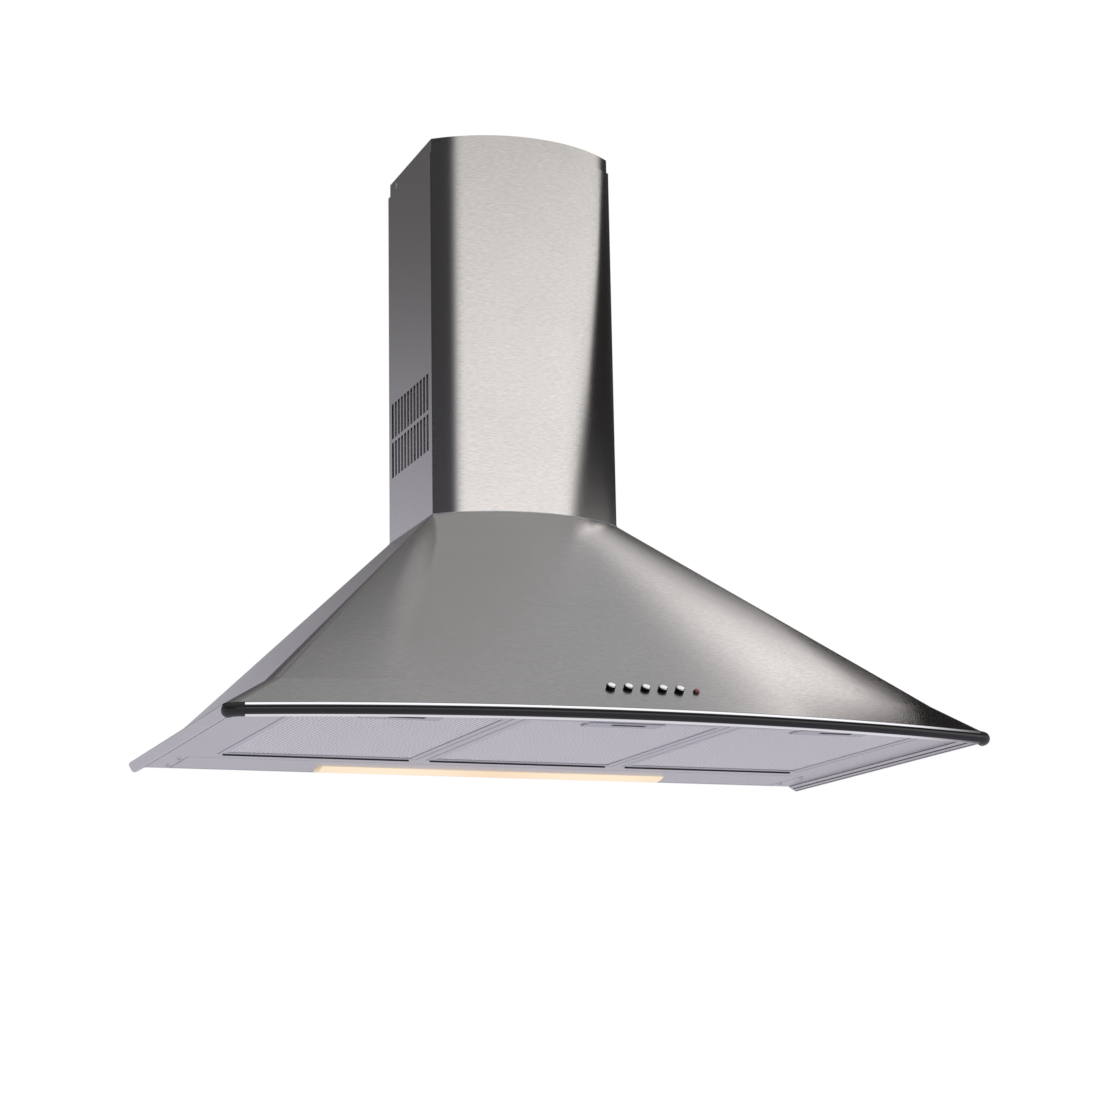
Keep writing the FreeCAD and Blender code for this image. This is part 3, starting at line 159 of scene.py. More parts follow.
# Each screen or card: from and to azimuth (0 in front, 90 to the right), from and to elevation, edge softness
# in degrees, and its colour and brightness. Later ones stand in front of earlier ones.
screens = (
    ("floor and low wall", -300, 300, -120, 15, 5, "#e6e3f0", 0.74),
    ("overhead", -300, 300, 56, 120, 8, "#f7f8f8", 0.62),
    ("rear ceiling", 96, 300, 38, 84, 8, "#f8f8f9", 0.46),
    ("dark corner", 156, 300, 26, 64.5, 6, "#f8f6f6", 0.13),
    ("front ceiling", -150, 90, 40, 70, 6, "#f7f8f8", 0.60),
    ("ceiling lamp", 96, 132, 38, 53, 5, "#fffaf8", 1.65),
    ("front screen", -40, 89, 0, 23, 5.5, "#fffcf9", 1.33),
    ("left card", -115, -42, 4, 32, 3, "#161313", 1.0),
)
room = hex_colour("#5a5756")
for name, left, right_edge, low, high, soft, colour, strength in screens:
    sides = math_node(studio, "MULTIPLY", ramp_up(studio, azimuth, left - soft, left + soft),
                      ramp_up(studio, azimuth, right_edge + soft, right_edge - soft))
    ends = math_node(studio, "MULTIPLY", ramp_up(studio, elevation, low - soft, low + soft),
                     ramp_up(studio, elevation, high + soft, high - soft))
    mask = math_node(studio, "MULTIPLY", sides, ends)
    light = [value * strength for value in hex_colour(colour)[:3]]
    room = add(studio, "ShaderNodeMixRGB", {"Fac": mask, "Color1": room, "Color2": (*light, 1)}).outputs[0]

path = add(studio, "ShaderNodeLightPath")
white = (1, 1, 1, 1)
soft_light = (0.92, 0.92, 0.93, 1)
backdrop = add(studio, "ShaderNodeMixRGB", {"Fac": path.outputs["Is Glossy Ray"], "Color1": white,
                                            "Color2": room})
seen = math_node(studio, "ADD", path.outputs["Is Camera Ray"], path.outputs["Is Glossy Ray"])
seen = math_node(studio, "ADD", seen, path.outputs["Is Transmission Ray"], clamp=True)
sky = add(studio, "ShaderNodeMixRGB", {"Fac": seen, "Color1": soft_light, "Color2": backdrop.outputs[0]})
background = add(studio, "ShaderNodeBackground", {"Color": sky.outputs[0], "Strength": 1.0})
add(studio, "ShaderNodeOutputWorld", {"Surface": background.outputs[0]})
print(len(screens), "screens and cards,", len(studio.nodes), "nodes")

# %% [markdown]
# ## The floor
# The floor is a plain pale disc that fades out at its rim, so that no line shows where it ends and the
# soft shadow under the hood stays. It lies much lower than a kitchen floor, so that a camera can look up
# at the filters and still stand above it.

# %% Lay the floor
floor_height = -4.50
floor_radius = 4.0
fade_start = 1.6
rim_step = 5
speckle_scale = 3.0


def new_material(name):
    """An empty material with its tree, its shader and its output."""
    material = bpy.data.materials.new(name)
    material.use_nodes = True
    tree = material.node_tree
    tree.nodes.clear()
    shader = add(tree, "ShaderNodeBsdfPrincipled")
    add(tree, "ShaderNodeOutputMaterial", {"Surface": shader.outputs[0]})
    return material, tree, shader


def object_place(tree, scale=(1, 1, 1)):
    """The place on the object, in metres times a scale for each axis."""
    coordinate = add(tree, "ShaderNodeTexCoord").outputs["Object"]
    return add(tree, "ShaderNodeMapping", {"Vector": coordinate, "Scale": scale}).outputs[0]


floor_material, tree, shader = new_material("pale_floor")
speckle = add(tree, "ShaderNodeTexNoise", {"Vector": object_place(tree), "Scale": speckle_scale,
                                           "Detail": 4.0})
tones = add(tree, "ShaderNodeMixRGB", {"Fac": speckle.outputs["Fac"], "Color1": hex_colour("#f6f5f4"),
                                       "Color2": hex_colour("#fbfaf9")})
tree.links.new(tones.outputs[0], shader.inputs["Base Color"])
shader.inputs["Roughness"].default_value = 0.9
flat_place = object_place(tree, (1, 1, 0))
distance = add(tree, "ShaderNodeVectorMath", {0: flat_place}, operation="LENGTH").outputs["Value"]
clear = add(tree, "ShaderNodeBsdfTransparent")
blend = add(tree, "ShaderNodeMixShader", {"Fac": ramp_up(tree, distance, fade_start, floor_radius),
                                          1: shader.outputs[0], 2: clear.outputs[0]})
output = [node for node in tree.nodes if node.type == "OUTPUT_MATERIAL"][0]
tree.links.new(blend.outputs[0], output.inputs["Surface"])

angles = [math.radians(step) for step in range(0, 360, rim_step)]
rim = [(floor_radius * math.cos(angle), floor_radius * math.sin(angle), floor_height) for angle in angles]
floor_mesh = bpy.data.meshes.new("floor")
floor_mesh.from_pydata(rim, [], [tuple(range(len(rim)))])
floor_mesh.materials.append(floor_material)
floor = bpy.data.objects.new("floor", floor_mesh)
bpy.context.scene.collection.objects.link(floor)
print("floor at", floor_height, "m")

# %% [markdown]
# ## The black card
# The dark band down the chimney's right side leans outwards, because the card that makes it stands close
# by and its top edge climbs towards the wall. The part of the card nearest the wall darkens the canopy's
# right corner. A card this near has to be a real plane. Only reflections see it, so it hides nothing and
# casts no shadow.

# %% Stand the card beside the hood
card_x = 0.90
fibre_size = 0.0025
card_outline = ((-1.20, 0.43), (-0.95, 0.55), (-0.52, 0.728), (-0.28, 0.907), (-0.19, 1.03), (-0.05, 1.15),
                (-0.05, 0.62), (0.02, 0.71), (0.05, 0.75), (0.10, 0.79), (0.17, 0.822), (0.30, 0.86),
                (0.45, 0.86), (0.45, 0.42))
card_material, tree, shader = new_material("black_card")
fibres = add(tree, "ShaderNodeTexNoise", {"Vector": object_place(tree), "Scale": 1 / fibre_size})
tones = add(tree, "ShaderNodeMixRGB", {"Fac": fibres.outputs["Fac"], "Color1": hex_colour("#161413"),
                                       "Color2": hex_colour("#1f1d1c")})
tree.links.new(tones.outputs[0], shader.inputs["Base Color"])
shader.inputs["Roughness"].default_value = 0.95
shader.inputs["Specular IOR Level"].default_value = 0.0
card_mesh = bpy.data.meshes.new("black_card")
card_mesh.from_pydata([(card_x, y, z) for y, z in card_outline], [], [tuple(range(len(card_outline)))])
card_mesh.materials.append(card_material)
card = bpy.data.objects.new("black_card", card_mesh)
card.visible_camera = False
card.visible_diffuse = False
card.visible_transmission = False
card.visible_shadow = False
bpy.context.scene.collection.objects.link(card)
print("card at x", card_x)

# %% [markdown]
# ## Brushed stainless steel
# Canopy and chimney are 1 mm stainless sheet, ground with an abrasive belt that ran sideways. The belt
# leaves fine parallel lines, and the lines smear every reflection at right angles to themselves: bright
# and dark bands keep sharp sides but run up and down. An anisotropic metal does this, with its tangent
# set upright so that the smear runs up the sheet. Real lines are about 0.1 mm apart, and they are drawn
# 0.8 mm apart to show at all.

# %% Mix the brushed steels
grain_spacing = 0.0008
grain_length = 0.007
grain_contrast = (0.3, 0.7)
cloud_scale = 7.0
cloud_share = 0.25
steel_smear = 0.8
steel_roughness = 0.18
roughness_swing = 0.012
steel_dark = "#c7c5c4"
steel_light = "#dbd9d8"


def brushed_steel(name, across):
    """Steel with belt-ground lines that follow each other closely along one axis."""
    material, tree, shader = new_material(name)
    scale = [1 / grain_spacing if axis == across else 1 / grain_length for axis in "xyz"]
    lines = add(tree, "ShaderNodeTexNoise", {"Vector": object_place(tree, scale), "Scale": 1.0,
                                             "Detail": 3.0})
    clouds = add(tree, "ShaderNodeTexNoise", {"Vector": object_place(tree), "Scale": cloud_scale,
                                              "Detail": 2.0})
    grain = add(tree, "ShaderNodeMixRGB", {"Fac": cloud_share, "Color1": lines.outputs["Fac"],
                                           "Color2": clouds.outputs["Fac"]}).outputs[0]
    low, high = grain_contrast
    tone = add(tree, "ShaderNodeMapRange", {"Value": grain, "From Min": low, "From Max": high})
    colour = add(tree, "ShaderNodeMixRGB", {"Fac": tone.outputs[0], "Color1": hex_colour(steel_dark),
                                            "Color2": hex_colour(steel_light)})
    rough = add(tree, "ShaderNodeMapRange", {"Value": grain, "From Min": low, "From Max": high,
                                             "To Min": steel_roughness + roughness_swing,
                                             "To Max": steel_roughness - roughness_swing})
    upright = add(tree, "ShaderNodeCombineXYZ", {"Y": float(across == "y"), "Z": float(across == "z")})
    tree.links.new(colour.outputs[0], shader.inputs["Base Color"])
    tree.links.new(rough.outputs[0], shader.inputs["Roughness"])
    tree.links.new(upright.outputs[0], shader.inputs["Tangent"])
    shader.inputs["Metallic"].default_value = 1.0
    shader.inputs["Anisotropic"].default_value = steel_smear
    return material


finishes = {
    "brushed_stainless": brushed_steel("brushed_stainless_sheet", "z"),
    "underside_steel": brushed_steel("brushed_stainless_underside", "y"),
}
print("steel finishes", sorted(finishes))

# %% [markdown]
# ## Zinc and aluminium
# The sheets that nobody sees are galvanised: the zinc bath leaves a patchwork of pale crystals, which a
# Voronoi pattern draws well. Nuts, screws and the shaft are bright zinc plate. The capacitor sits in a
# drawn aluminium can and the motor in a cast casing. The filters have rolled aluminium frames and pressed
# steel latch plates.

# %% Mix the other metals
def metal(name, dark, light, roughness, spread, pattern_size, pattern="noise"):
    """A plain metal whose tone and roughness vary with a fine pattern of a real size in metres."""
    material, tree, shader = new_material(name)
    place = object_place(tree)
    if pattern == "crystals":
        cells = add(tree, "ShaderNodeTexVoronoi", {"Vector": place, "Scale": 1 / pattern_size})
        shade = add(tree, "ShaderNodeSeparateColor", {"Color": cells.outputs["Color"]}).outputs[0]
    else:
        shade = add(tree, "ShaderNodeTexNoise", {"Vector": place, "Scale": 1 / pattern_size, "Detail": 4.0})
        shade = shade.outputs["Fac"]
    colour = add(tree, "ShaderNodeMixRGB", {"Fac": shade, "Color1": hex_colour(dark),
                                            "Color2": hex_colour(light)})
    rough = add(tree, "ShaderNodeMapRange", {"Value": shade, "To Min": roughness - spread,
                                             "To Max": roughness + spread})
    tree.links.new(colour.outputs[0], shader.inputs["Base Color"])
    tree.links.new(rough.outputs[0], shader.inputs["Roughness"])
    shader.inputs["Metallic"].default_value = 1.0
    return material


finishes["galvanised_steel"] = metal("galvanised_sheet", "#a9adb0", "#c6c9cb", 0.46, 0.08, 0.009, "crystals")
finishes["zinc_fasteners"] = metal("bright_zinc_plate", "#b4b6ba", "#cfd1d4", 0.30, 0.05, 0.002)
finishes["motor_casing"] = metal("cast_aluminium_casing", "#8e9194", "#a4a7aa", 0.50, 0.08, 0.003)
finishes["capacitor_can"] = metal("drawn_aluminium_can", "#c2c5c8", "#d2d5d8", 0.28, 0.04, 0.004)
finishes["filter_aluminium"] = metal("rolled_aluminium_filter", "#c9c8cd", "#d9d8dd", 0.36, 0.05, 0.004)
finishes["filter_latch_metal"] = metal("pressed_steel_latch_plate", "#b9b8bd", "#c8c7cc", 0.34, 0.04, 0.005)
print("metals", sorted(finishes))

# %% [markdown]
# ## Chrome buttons
# A chrome button is a small mirror. Its side would mirror the dark room, and its round end would catch a
# small lamp on the right as one bright fleck. The screens that suit the wide steel are too broad for such a
# fleck, so both are painted by the way that the surface faces: the colour darkens towards the side as a
# painted dark reflection, and a painted highlight glows at the end.

# %% Polish the buttons and paint their reflections
button_facing = (0.28, -0.63, 0.73)
painted_side_shade = (0.45, 0.80)
painted_glint_edge = (0.90, 0.96)
painted_glint_strength = 0.55


def toward(tree, target):
    """How far the surface faces a direction: 1 straight at it, 0 across and -1 away."""
    normal = add(tree, "ShaderNodeTexCoord").outputs["Normal"]
    return add(tree, "ShaderNodeVectorMath", {0: normal, 1: Vector(target).normalized()},
               operation="DOT_PRODUCT").outputs["Value"]


chrome = metal("polished_chrome", "#dcdcdd", "#e8e8e9", 0.09, 0.02, 0.003)
tree = chrome.node_tree
shader = [node for node in tree.nodes if node.type == "BSDF_PRINCIPLED"][0]
share = toward(tree, button_facing)
bright = shader.inputs["Base Color"].links[0].from_socket
# painted dark reflection: the colour darkens where the button's side turns away
shade = add(tree, "ShaderNodeMixRGB", {"Fac": ramp_up(tree, share, *painted_side_shade),
                                       "Color1": hex_colour("#141416"), "Color2": bright})
tree.links.new(shade.outputs[0], shader.inputs["Base Color"])
# painted highlight: an emission glow where the surface faces the lamp on the right
painted_glint = add(tree, "ShaderNodeMixRGB", {"Fac": ramp_up(tree, share, *painted_glint_edge), "Color1": (0, 0, 0, 1),
                                       "Color2": hex_colour("#f4f4f2")})
tree.links.new(painted_glint.outputs[0], shader.inputs["Emission Color"])
shader.inputs["Emission Strength"].default_value = painted_glint_strength
finishes["button_chrome"] = chrome
print("chrome,", len(tree.nodes), "nodes")

# %% [markdown]
# ## Painted light and shade on the filter sheet
# Pale and darker lines, 5 mm apart, run from front to back over the filter sheet: painted light and shade,
# as a rippled sheet would show. A sine wave draws them, and a noise shifts it sideways to make them waver.
# The strands are too thin to mirror anything at this size, so the finish is only partly metallic, which
# keeps the sheet pale.

# %% Paint light and shade lines on the filter sheet
shade_line_pitch = 0.0050
shade_line_waver = 0.0016
waver_scale = (60, 90, 0)
sheet_metallic = 0.6
sheet_roughness = 0.42
mesh_finish, tree, shader = new_material("expanded_aluminium_painted_shade_lines")
waver = add(tree, "ShaderNodeTexNoise", {"Vector": object_place(tree, waver_scale), "Scale": 1.0,
                                         "Detail": 2.0})
shift = math_node(tree, "MULTIPLY", math_node(tree, "SUBTRACT", waver.outputs["Fac"], 0.5), 2 * shade_line_waver)
along = add(tree, "ShaderNodeSeparateXYZ", {"Vector": object_place(tree)})
turn = math_node(tree, "MULTIPLY", math_node(tree, "ADD", along.outputs["X"], shift), math.tau / shade_line_pitch)
# painted light and shade: pale and darker lines from a wavering sine
painted_ripple_shade = math_node(tree, "MULTIPLY", math_node(tree, "ADD", math_node(tree, "SINE", turn), 1.0), 0.5)
tones = add(tree, "ShaderNodeMixRGB", {"Fac": painted_ripple_shade, "Color1": hex_colour("#d4d0d8"),
                                       "Color2": hex_colour("#fdfafe")})
tree.links.new(tones.outputs[0], shader.inputs["Base Color"])
shader.inputs["Metallic"].default_value = sheet_metallic
shader.inputs["Roughness"].default_value = sheet_roughness
print("ripples", shade_line_pitch, "m apart")

# %% [markdown]
# ## Mouldings and porcelain
# The corner caps of the rail and the inner mouldings are black plastic with the dull, faintly pitted skin
# that a moulding tool leaves. The lamp holders are glazed porcelain. One recipe serves them all: a colour
# that hardly changes, and a noise of the skin's real size that moves both the roughness and a slight
# bump.

# %% Mix the plastics and the porcelain
skin_swing = 0.15
skin_strength = 0.4


def moulding(name, dark, light, roughness, skin_size, skin_depth, coat=0.0):
    """A solid coloured material whose skin is slightly uneven, with a size and depth in metres."""
    material, tree, shader = new_material(name)
    skin = add(tree, "ShaderNodeTexNoise", {"Vector": object_place(tree), "Scale": 1 / skin_size,
                                            "Detail": 3.0})
    skin = skin.outputs["Fac"]
    colour = add(tree, "ShaderNodeMixRGB", {"Fac": skin, "Color1": hex_colour(dark),
                                            "Color2": hex_colour(light)})
    rough = add(tree, "ShaderNodeMapRange", {"Value": skin, "To Min": roughness * (1 - skin_swing),
                                             "To Max": roughness * (1 + skin_swing)})
    bump = add(tree, "ShaderNodeBump", {"Height": skin, "Strength": skin_strength, "Distance": skin_depth})
    tree.links.new(colour.outputs[0], shader.inputs["Base Color"])
    tree.links.new(rough.outputs[0], shader.inputs["Roughness"])
    tree.links.new(bump.outputs[0], shader.inputs["Normal"])
    shader.inputs["Coat Weight"].default_value = coat
    return material, tree, shader


finishes["black_cap"] = moulding("black_nylon_cap", "#0a0a0b", "#111112", 0.42, 0.0008, 0.00004)[0]
finishes["black_moulding"] = moulding("black_polypropylene", "#151617", "#1e1f21", 0.46, 0.0012, 0.00005)[0]
finishes["lamp_porcelain"] = moulding("glazed_porcelain", "#e6e1d6", "#f1ede4", 0.16, 0.004, 0.00002)[0]
finishes["latch_pull"] = moulding("grey_latch_moulding", "#34353a", "#3e3f44", 0.40, 0.001, 0.00004)[0]
print("finishes so far", len(finishes))

# %% [markdown]
# ## The rail
# The rail is steel tube under gloss black enamel. A tube so thin squeezes the whole room into two lines
# of light, one from the lamps above and one from the floor below, and they fade out where the rail curves
# away on the right. The wide steel needs other screens than those that give such lines, so the lines are
# painted highlights that glow by the slope of the surface, which keeps them in place from every side.

# %% Enamel the rail and paint its highlights
# Each painted highlight line: from and to slope of the surface (1 faces up, -1 faces down), edge softness,
# colour and brightness.
painted_shine_lines = (
    ("lamp above", 0.50, 0.86, 0.06, "#fbfaff", 1.0),
    ("floor below", -1.20, -0.80, 0.03, "#e0dbe2", 0.85),
)
painted_shine_fade = (0.46, 0.30)
enamel, tree, shader = moulding("gloss_black_enamel", "#0a0b0d", "#101114", 0.10, 0.006, 0.00001)
facing = toward(tree, (0, 0, 1))
along = add(tree, "ShaderNodeSeparateXYZ", {"Vector": object_place(tree)})
painted_shine = (0, 0, 0, 1)
# painted highlights: emission lines set by the slope of the surface
for name, low, high, soft, colour, strength in painted_shine_lines:
    line = math_node(tree, "MULTIPLY", ramp_up(tree, facing, low - soft, low + soft),
                     ramp_up(tree, facing, high + soft, high - soft))
    line = math_node(tree, "MULTIPLY", line, strength)
    painted_shine = add(tree, "ShaderNodeMixRGB", {"Fac": line, "Color1": painted_shine,
                                           "Color2": hex_colour(colour)}).outputs[0]
tree.links.new(painted_shine, shader.inputs["Emission Color"])
# the painted highlights fade out towards the rail's right end
fade = ramp_up(tree, along.outputs["X"], *painted_shine_fade)
tree.links.new(fade, shader.inputs["Emission Strength"])
finishes["black_rail"] = enamel
print("lines on the rail", [line[0] for line in painted_shine_lines])

# %% [markdown]
# ## The indicator
# The indicator is a small dome of clear red plastic. Its edge is darkened with painted shade: the colour
# darkens as the surface turns away from the front.

# %% Cast the red lens
painted_lens_shade = (0.10, 0.75)
red_lens, tree, shader = moulding("red_indicator_lens", "#7c2a2e", "#8e3034", 0.12, 0.002, 0.00002, coat=0.5)
# painted shade: the dome's colour darkens towards its edge
painted_dome_shade = add(tree, "ShaderNodeMixRGB", {"Fac": ramp_up(tree, toward(tree, button_facing), *painted_lens_shade),
                                      "Color1": hex_colour("#120607"),
                                      "Color2": shader.inputs["Base Color"].links[0].from_socket})
tree.links.new(painted_dome_shade.outputs[0], shader.inputs["Base Color"])
finishes["indicator_red"] = red_lens
print("finishes so far", len(finishes))

# %% [markdown]
# ## Lamps that glow through frosted glass
# Two candle bulbs lie behind one long frosted cover. The cover is warm and brightest where a bulb is
# near, and cooler between them, so its glow is worked out from the distance to the two bulbs.

# %% Mix the bulb glass and the frosted cover
bulb_share = 0.62
bulb_glow = 1.6
cover_glow = 0.32
glow_reach = (0.16, 0.02)
bulb_low, bulb_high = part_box("lamp_bulbs")
bulb_middle = (bulb_low + bulb_high) / 2
bulb_reach = bulb_high.x * bulb_share

bulb_glass, tree, shader = moulding("opal_bulb_glass", "#f4e6cc", "#fbf1dd", 0.22, 0.006, 0.00002)
shader.inputs["Emission Color"].default_value = hex_colour("#ffd79a")
shader.inputs["Emission Strength"].default_value = bulb_glow
finishes["bulb_glass"] = bulb_glass

frosted, tree, shader = moulding("frosted_lamp_cover", "#e4cfb4", "#ecdac2", 0.38, 0.0015, 0.00003)
place = object_place(tree)
distances = []
for side in (-1, 1):
    centre = (side * bulb_reach, bulb_middle.y, bulb_middle.z)
    distance = add(tree, "ShaderNodeVectorMath", {0: place, 1: centre}, operation="DISTANCE")
    distances.append(distance.outputs["Value"])
nearest = math_node(tree, "MINIMUM", *distances)
nearness = ramp_up(tree, nearest, *glow_reach)
glow = add(tree, "ShaderNodeMixRGB", {"Fac": nearness, "Color1": hex_colour("#e6bb86"),
                                      "Color2": hex_colour("#ffe9c4")})
tree.links.new(glow.outputs[0], shader.inputs["Emission Color"])
shader.inputs["Emission Strength"].default_value = cover_glow
finishes["diffuser"] = frosted
print("bulbs", [round(value, 3) for value in bulb_middle])

# %% [markdown]
# ## Dress the parts
# The record names a finish for each part, so one loop hands every part its material.

# %% Hand each part its finish
slots = set()
for name, part in nodes.items():
    for slot in part.material_slots:
        slots.add(slot.material.name)
        slot.material = finishes[slot.material.name]
print(len(nodes), "parts dressed with", len(slots), "finishes")

# %% [markdown]
# ## Tools for geometry trees
# Geometry Nodes build a shape from rules, so a pattern of thousands of strands takes a few nodes. One
# function starts a tree whose sizes are named inputs, and three more make vectors and conditions.

# %% Tools for geometry trees
def geometry_tree(name, sizes):
    """An empty geometry tree with named inputs, and the sockets that give them inside the tree."""
    tree = bpy.data.node_groups.new(name, "GeometryNodeTree")
    for size_name, kind in sizes:
        tree.interface.new_socket(name=size_name, in_out="INPUT", socket_type="NodeSocket" + kind)
    tree.interface.new_socket(name="Geometry", in_out="OUTPUT", socket_type="NodeSocketGeometry")
    return tree, add(tree, "NodeGroupInput").outputs


def combine(tree, x=0.0, y=0.0, z=0.0):
    """One vector from three values or sockets."""
    return add(tree, "ShaderNodeCombineXYZ", {"X": x, "Y": y, "Z": z}).outputs[0]


def compare(tree, operation, first, second):
    """True where two values compare as said."""
    return add(tree, "FunctionNodeCompare", {0: first, 1: second}, data_type="FLOAT",
               operation=operation).outputs[0]


def both(tree, first, second):
    """True where two conditions hold."""
    return add(tree, "FunctionNodeBooleanMath", {0: first, 1: second}, operation="AND").outputs[0]


print("tools for geometry trees ready")

# %% [markdown]
# ## The filter mesh
# Each filter is faced with expanded aluminium: a thin sheet is slit in rows and pulled open, which turns
# the slits into diamonds. Modelling one diamond and repeating it would double every strand. Here a zigzag
# wire is repeated row after row instead, every other row mirrored, so that the rows touch where real
# strands join. The part of a wire that would run through the latch is left out, as it is cut out of the
# real sheet.

# %% Draw the expanded mesh tree
mesh_sizes = (("Width", "Float"), ("Length", "Float"), ("Cell Width", "Float"), ("Cell Length", "Float"),
              ("Strand", "Float"), ("Cut Left", "Float"), ("Cut Right", "Float"), ("Cut End", "Float"),
              ("Finish", "Material"))
expanded, given = geometry_tree("expanded_mesh", mesh_sizes)
half_cell = math_node(expanded, "DIVIDE", given["Cell Width"], 2.0)
quarter_cell = math_node(expanded, "DIVIDE", given["Cell Length"], 4.0)
row_step = math_node(expanded, "DIVIDE", given["Cell Length"], 2.0)
steps = math_node(expanded, "FLOOR", math_node(expanded, "DIVIDE", given["Width"], half_cell))
rows = math_node(expanded, "FLOOR", math_node(expanded, "DIVIDE", given["Length"], row_step))
start_x = math_node(expanded, "MULTIPLY", math_node(expanded, "MULTIPLY", steps, half_cell), -0.5)
index = add(expanded, "GeometryNodeInputIndex").outputs[0]
odd_row = math_node(expanded, "MODULO", index, 2.0)
flip = math_node(expanded, "SUBTRACT", 1.0, math_node(expanded, "MULTIPLY", odd_row, 2.0))
wire = add(expanded, "GeometryNodeMeshLine", {"Count": math_node(expanded, "ADD", steps, 1.0),
                                              "Start Location": combine(expanded, start_x),
                                              "Offset": combine(expanded, half_cell)})
zigzag = add(expanded, "GeometryNodeSetPosition",
             {"Geometry": wire.outputs[0],
              "Offset": combine(expanded, y=math_node(expanded, "MULTIPLY", flip, quarter_cell))})
ladder = add(expanded, "GeometryNodeMeshLine", {"Count": rows,
                                                "Start Location": combine(expanded, y=row_step),
                                                "Offset": combine(expanded, y=row_step)})
repeat = add(expanded, "GeometryNodeInstanceOnPoints",
             {"Points": ladder.outputs[0], "Instance": zigzag.outputs[0],
              "Scale": combine(expanded, 1.0, flip, 1.0)})
wires = add(expanded, "GeometryNodeRealizeInstances", {"Geometry": repeat.outputs[0]})
position = add(expanded, "GeometryNodeInputPosition").outputs[0]
spot = add(expanded, "ShaderNodeSeparateXYZ", {"Vector": position})
in_cut = both(expanded, compare(expanded, "GREATER_THAN", spot.outputs["X"], given["Cut Left"]),
              compare(expanded, "LESS_THAN", spot.outputs["X"], given["Cut Right"]))
in_cut = both(expanded, in_cut, compare(expanded, "LESS_THAN", spot.outputs["Y"], given["Cut End"]))
open_sheet = add(expanded, "GeometryNodeDeleteGeometry", {"Geometry": wires.outputs[0], "Selection": in_cut},
                 domain="POINT")
strands = add(expanded, "GeometryNodeMeshToCurve", {"Mesh": open_sheet.outputs[0]})
section = add(expanded, "GeometryNodeCurvePrimitiveCircle", {"Resolution": 3, "Radius": given["Strand"]})
solid = add(expanded, "GeometryNodeCurveToMesh", {"Curve": strands.outputs[0],
                                                  "Profile Curve": section.outputs[0]})
whole = add(expanded, "GeometryNodeRealizeInstances", {"Geometry": solid.outputs[0]})
finished = add(expanded, "GeometryNodeSetMaterial", {"Geometry": whole.outputs[0],
                                                     "Material": given["Finish"]})
add(expanded, "NodeGroupOutput", {"Geometry": finished.outputs[0]})
print("expanded mesh tree,", len(expanded.nodes), "nodes")

# %% [markdown]
# ## From tree to plain mesh
# A tree lives in a modifier on an object. Its inputs are set by their identifiers before anything is
# evaluated, the result is copied into an ordinary mesh, and the modifier goes. What is left is moved into
# place by its vertices, so the object itself stays at the origin. Several such meshes can be joined into
# one.

# %% Grow a tree into a mesh
def grow(name, tree, values):
    """A plain mesh object made by a geometry tree with the given inputs."""
    holder = bpy.data.objects.new(name + "_holder", bpy.data.meshes.new(name + "_holder"))
    bpy.context.scene.collection.objects.link(holder)
    modifier = holder.modifiers.new("tree", "NODES")
    modifier.node_group = tree
    for item in tree.interface.items_tree:
        if item.name in values:
            modifier[item.identifier] = values[item.name]
    evaluated = holder.evaluated_get(bpy.context.evaluated_depsgraph_get())
    mesh = bpy.data.meshes.new_from_object(evaluated)
    mesh.name = name
    holder.modifiers.remove(modifier)
    bpy.data.objects.remove(holder)
    piece = bpy.data.objects.new(name, mesh)
    bpy.context.scene.collection.objects.link(piece)
    return piece


def join(name, pieces):
    """One object from several, with their materials."""
    with bpy.context.temp_override(active_object=pieces[0], selected_editable_objects=pieces):
        bpy.ops.object.join()
    pieces[0].name = name
    return pieces[0]


print("a mesh can be grown from", expanded.name)

# %% [markdown]
# ## Facing the filters
# Each filter has two layers of mesh round its core: a fine one below, which one sees, and a coarse one
# above. The two together take the place of the plain sheets of the frame, and they swing with their
# filter.

# %% Face the filters
lower_cell = (0.0062, 0.0042)
upper_cell = (0.0100, 0.0060)
strand = 0.00040
latch_gap = 0.0006
for side in ("left", "middle", "right"):
    low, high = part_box(f"filter_{side}_mesh")
    latch_low, latch_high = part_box(f"filter_{side}_latch_housing")
    middle = (low.x + high.x) / 2
    layers = []
    for layer, (cell, height) in enumerate(((lower_cell, low.z + strand), (upper_cell, high.z - strand))):
        sheet = grow(f"filter_{side}_layer_{layer}", expanded, {
            "Width": high.x - low.x, "Length": high.y - low.y,
            "Cell Width": cell[0], "Cell Length": cell[1], "Strand": strand,
            "Cut Left": latch_low.x - middle - latch_gap, "Cut Right": latch_high.x - middle + latch_gap,
            "Cut End": latch_high.y - low.y + latch_gap, "Finish": mesh_finish})
        sheet.data.transform(Matrix.Translation((middle, low.y, height)))
        layers.append(sheet)
    piece = join(f"filter_{side}_expanded_mesh", layers)
    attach(piece, f"filter_{side}")
    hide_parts(f"filter_{side}_mesh")
    print(piece.name, len(piece.data.polygons), "faces")

# %% [markdown]
# ## Ribbons
# Small dark things draw the lines that one sees first, and they are painted shade: behind the vent slots, in
# the folds of the hem and at the rear of the filters. All of them are ribbons, a line of points that is given
# a height and a thickness, and they are few and plain enough to be written corner by corner.

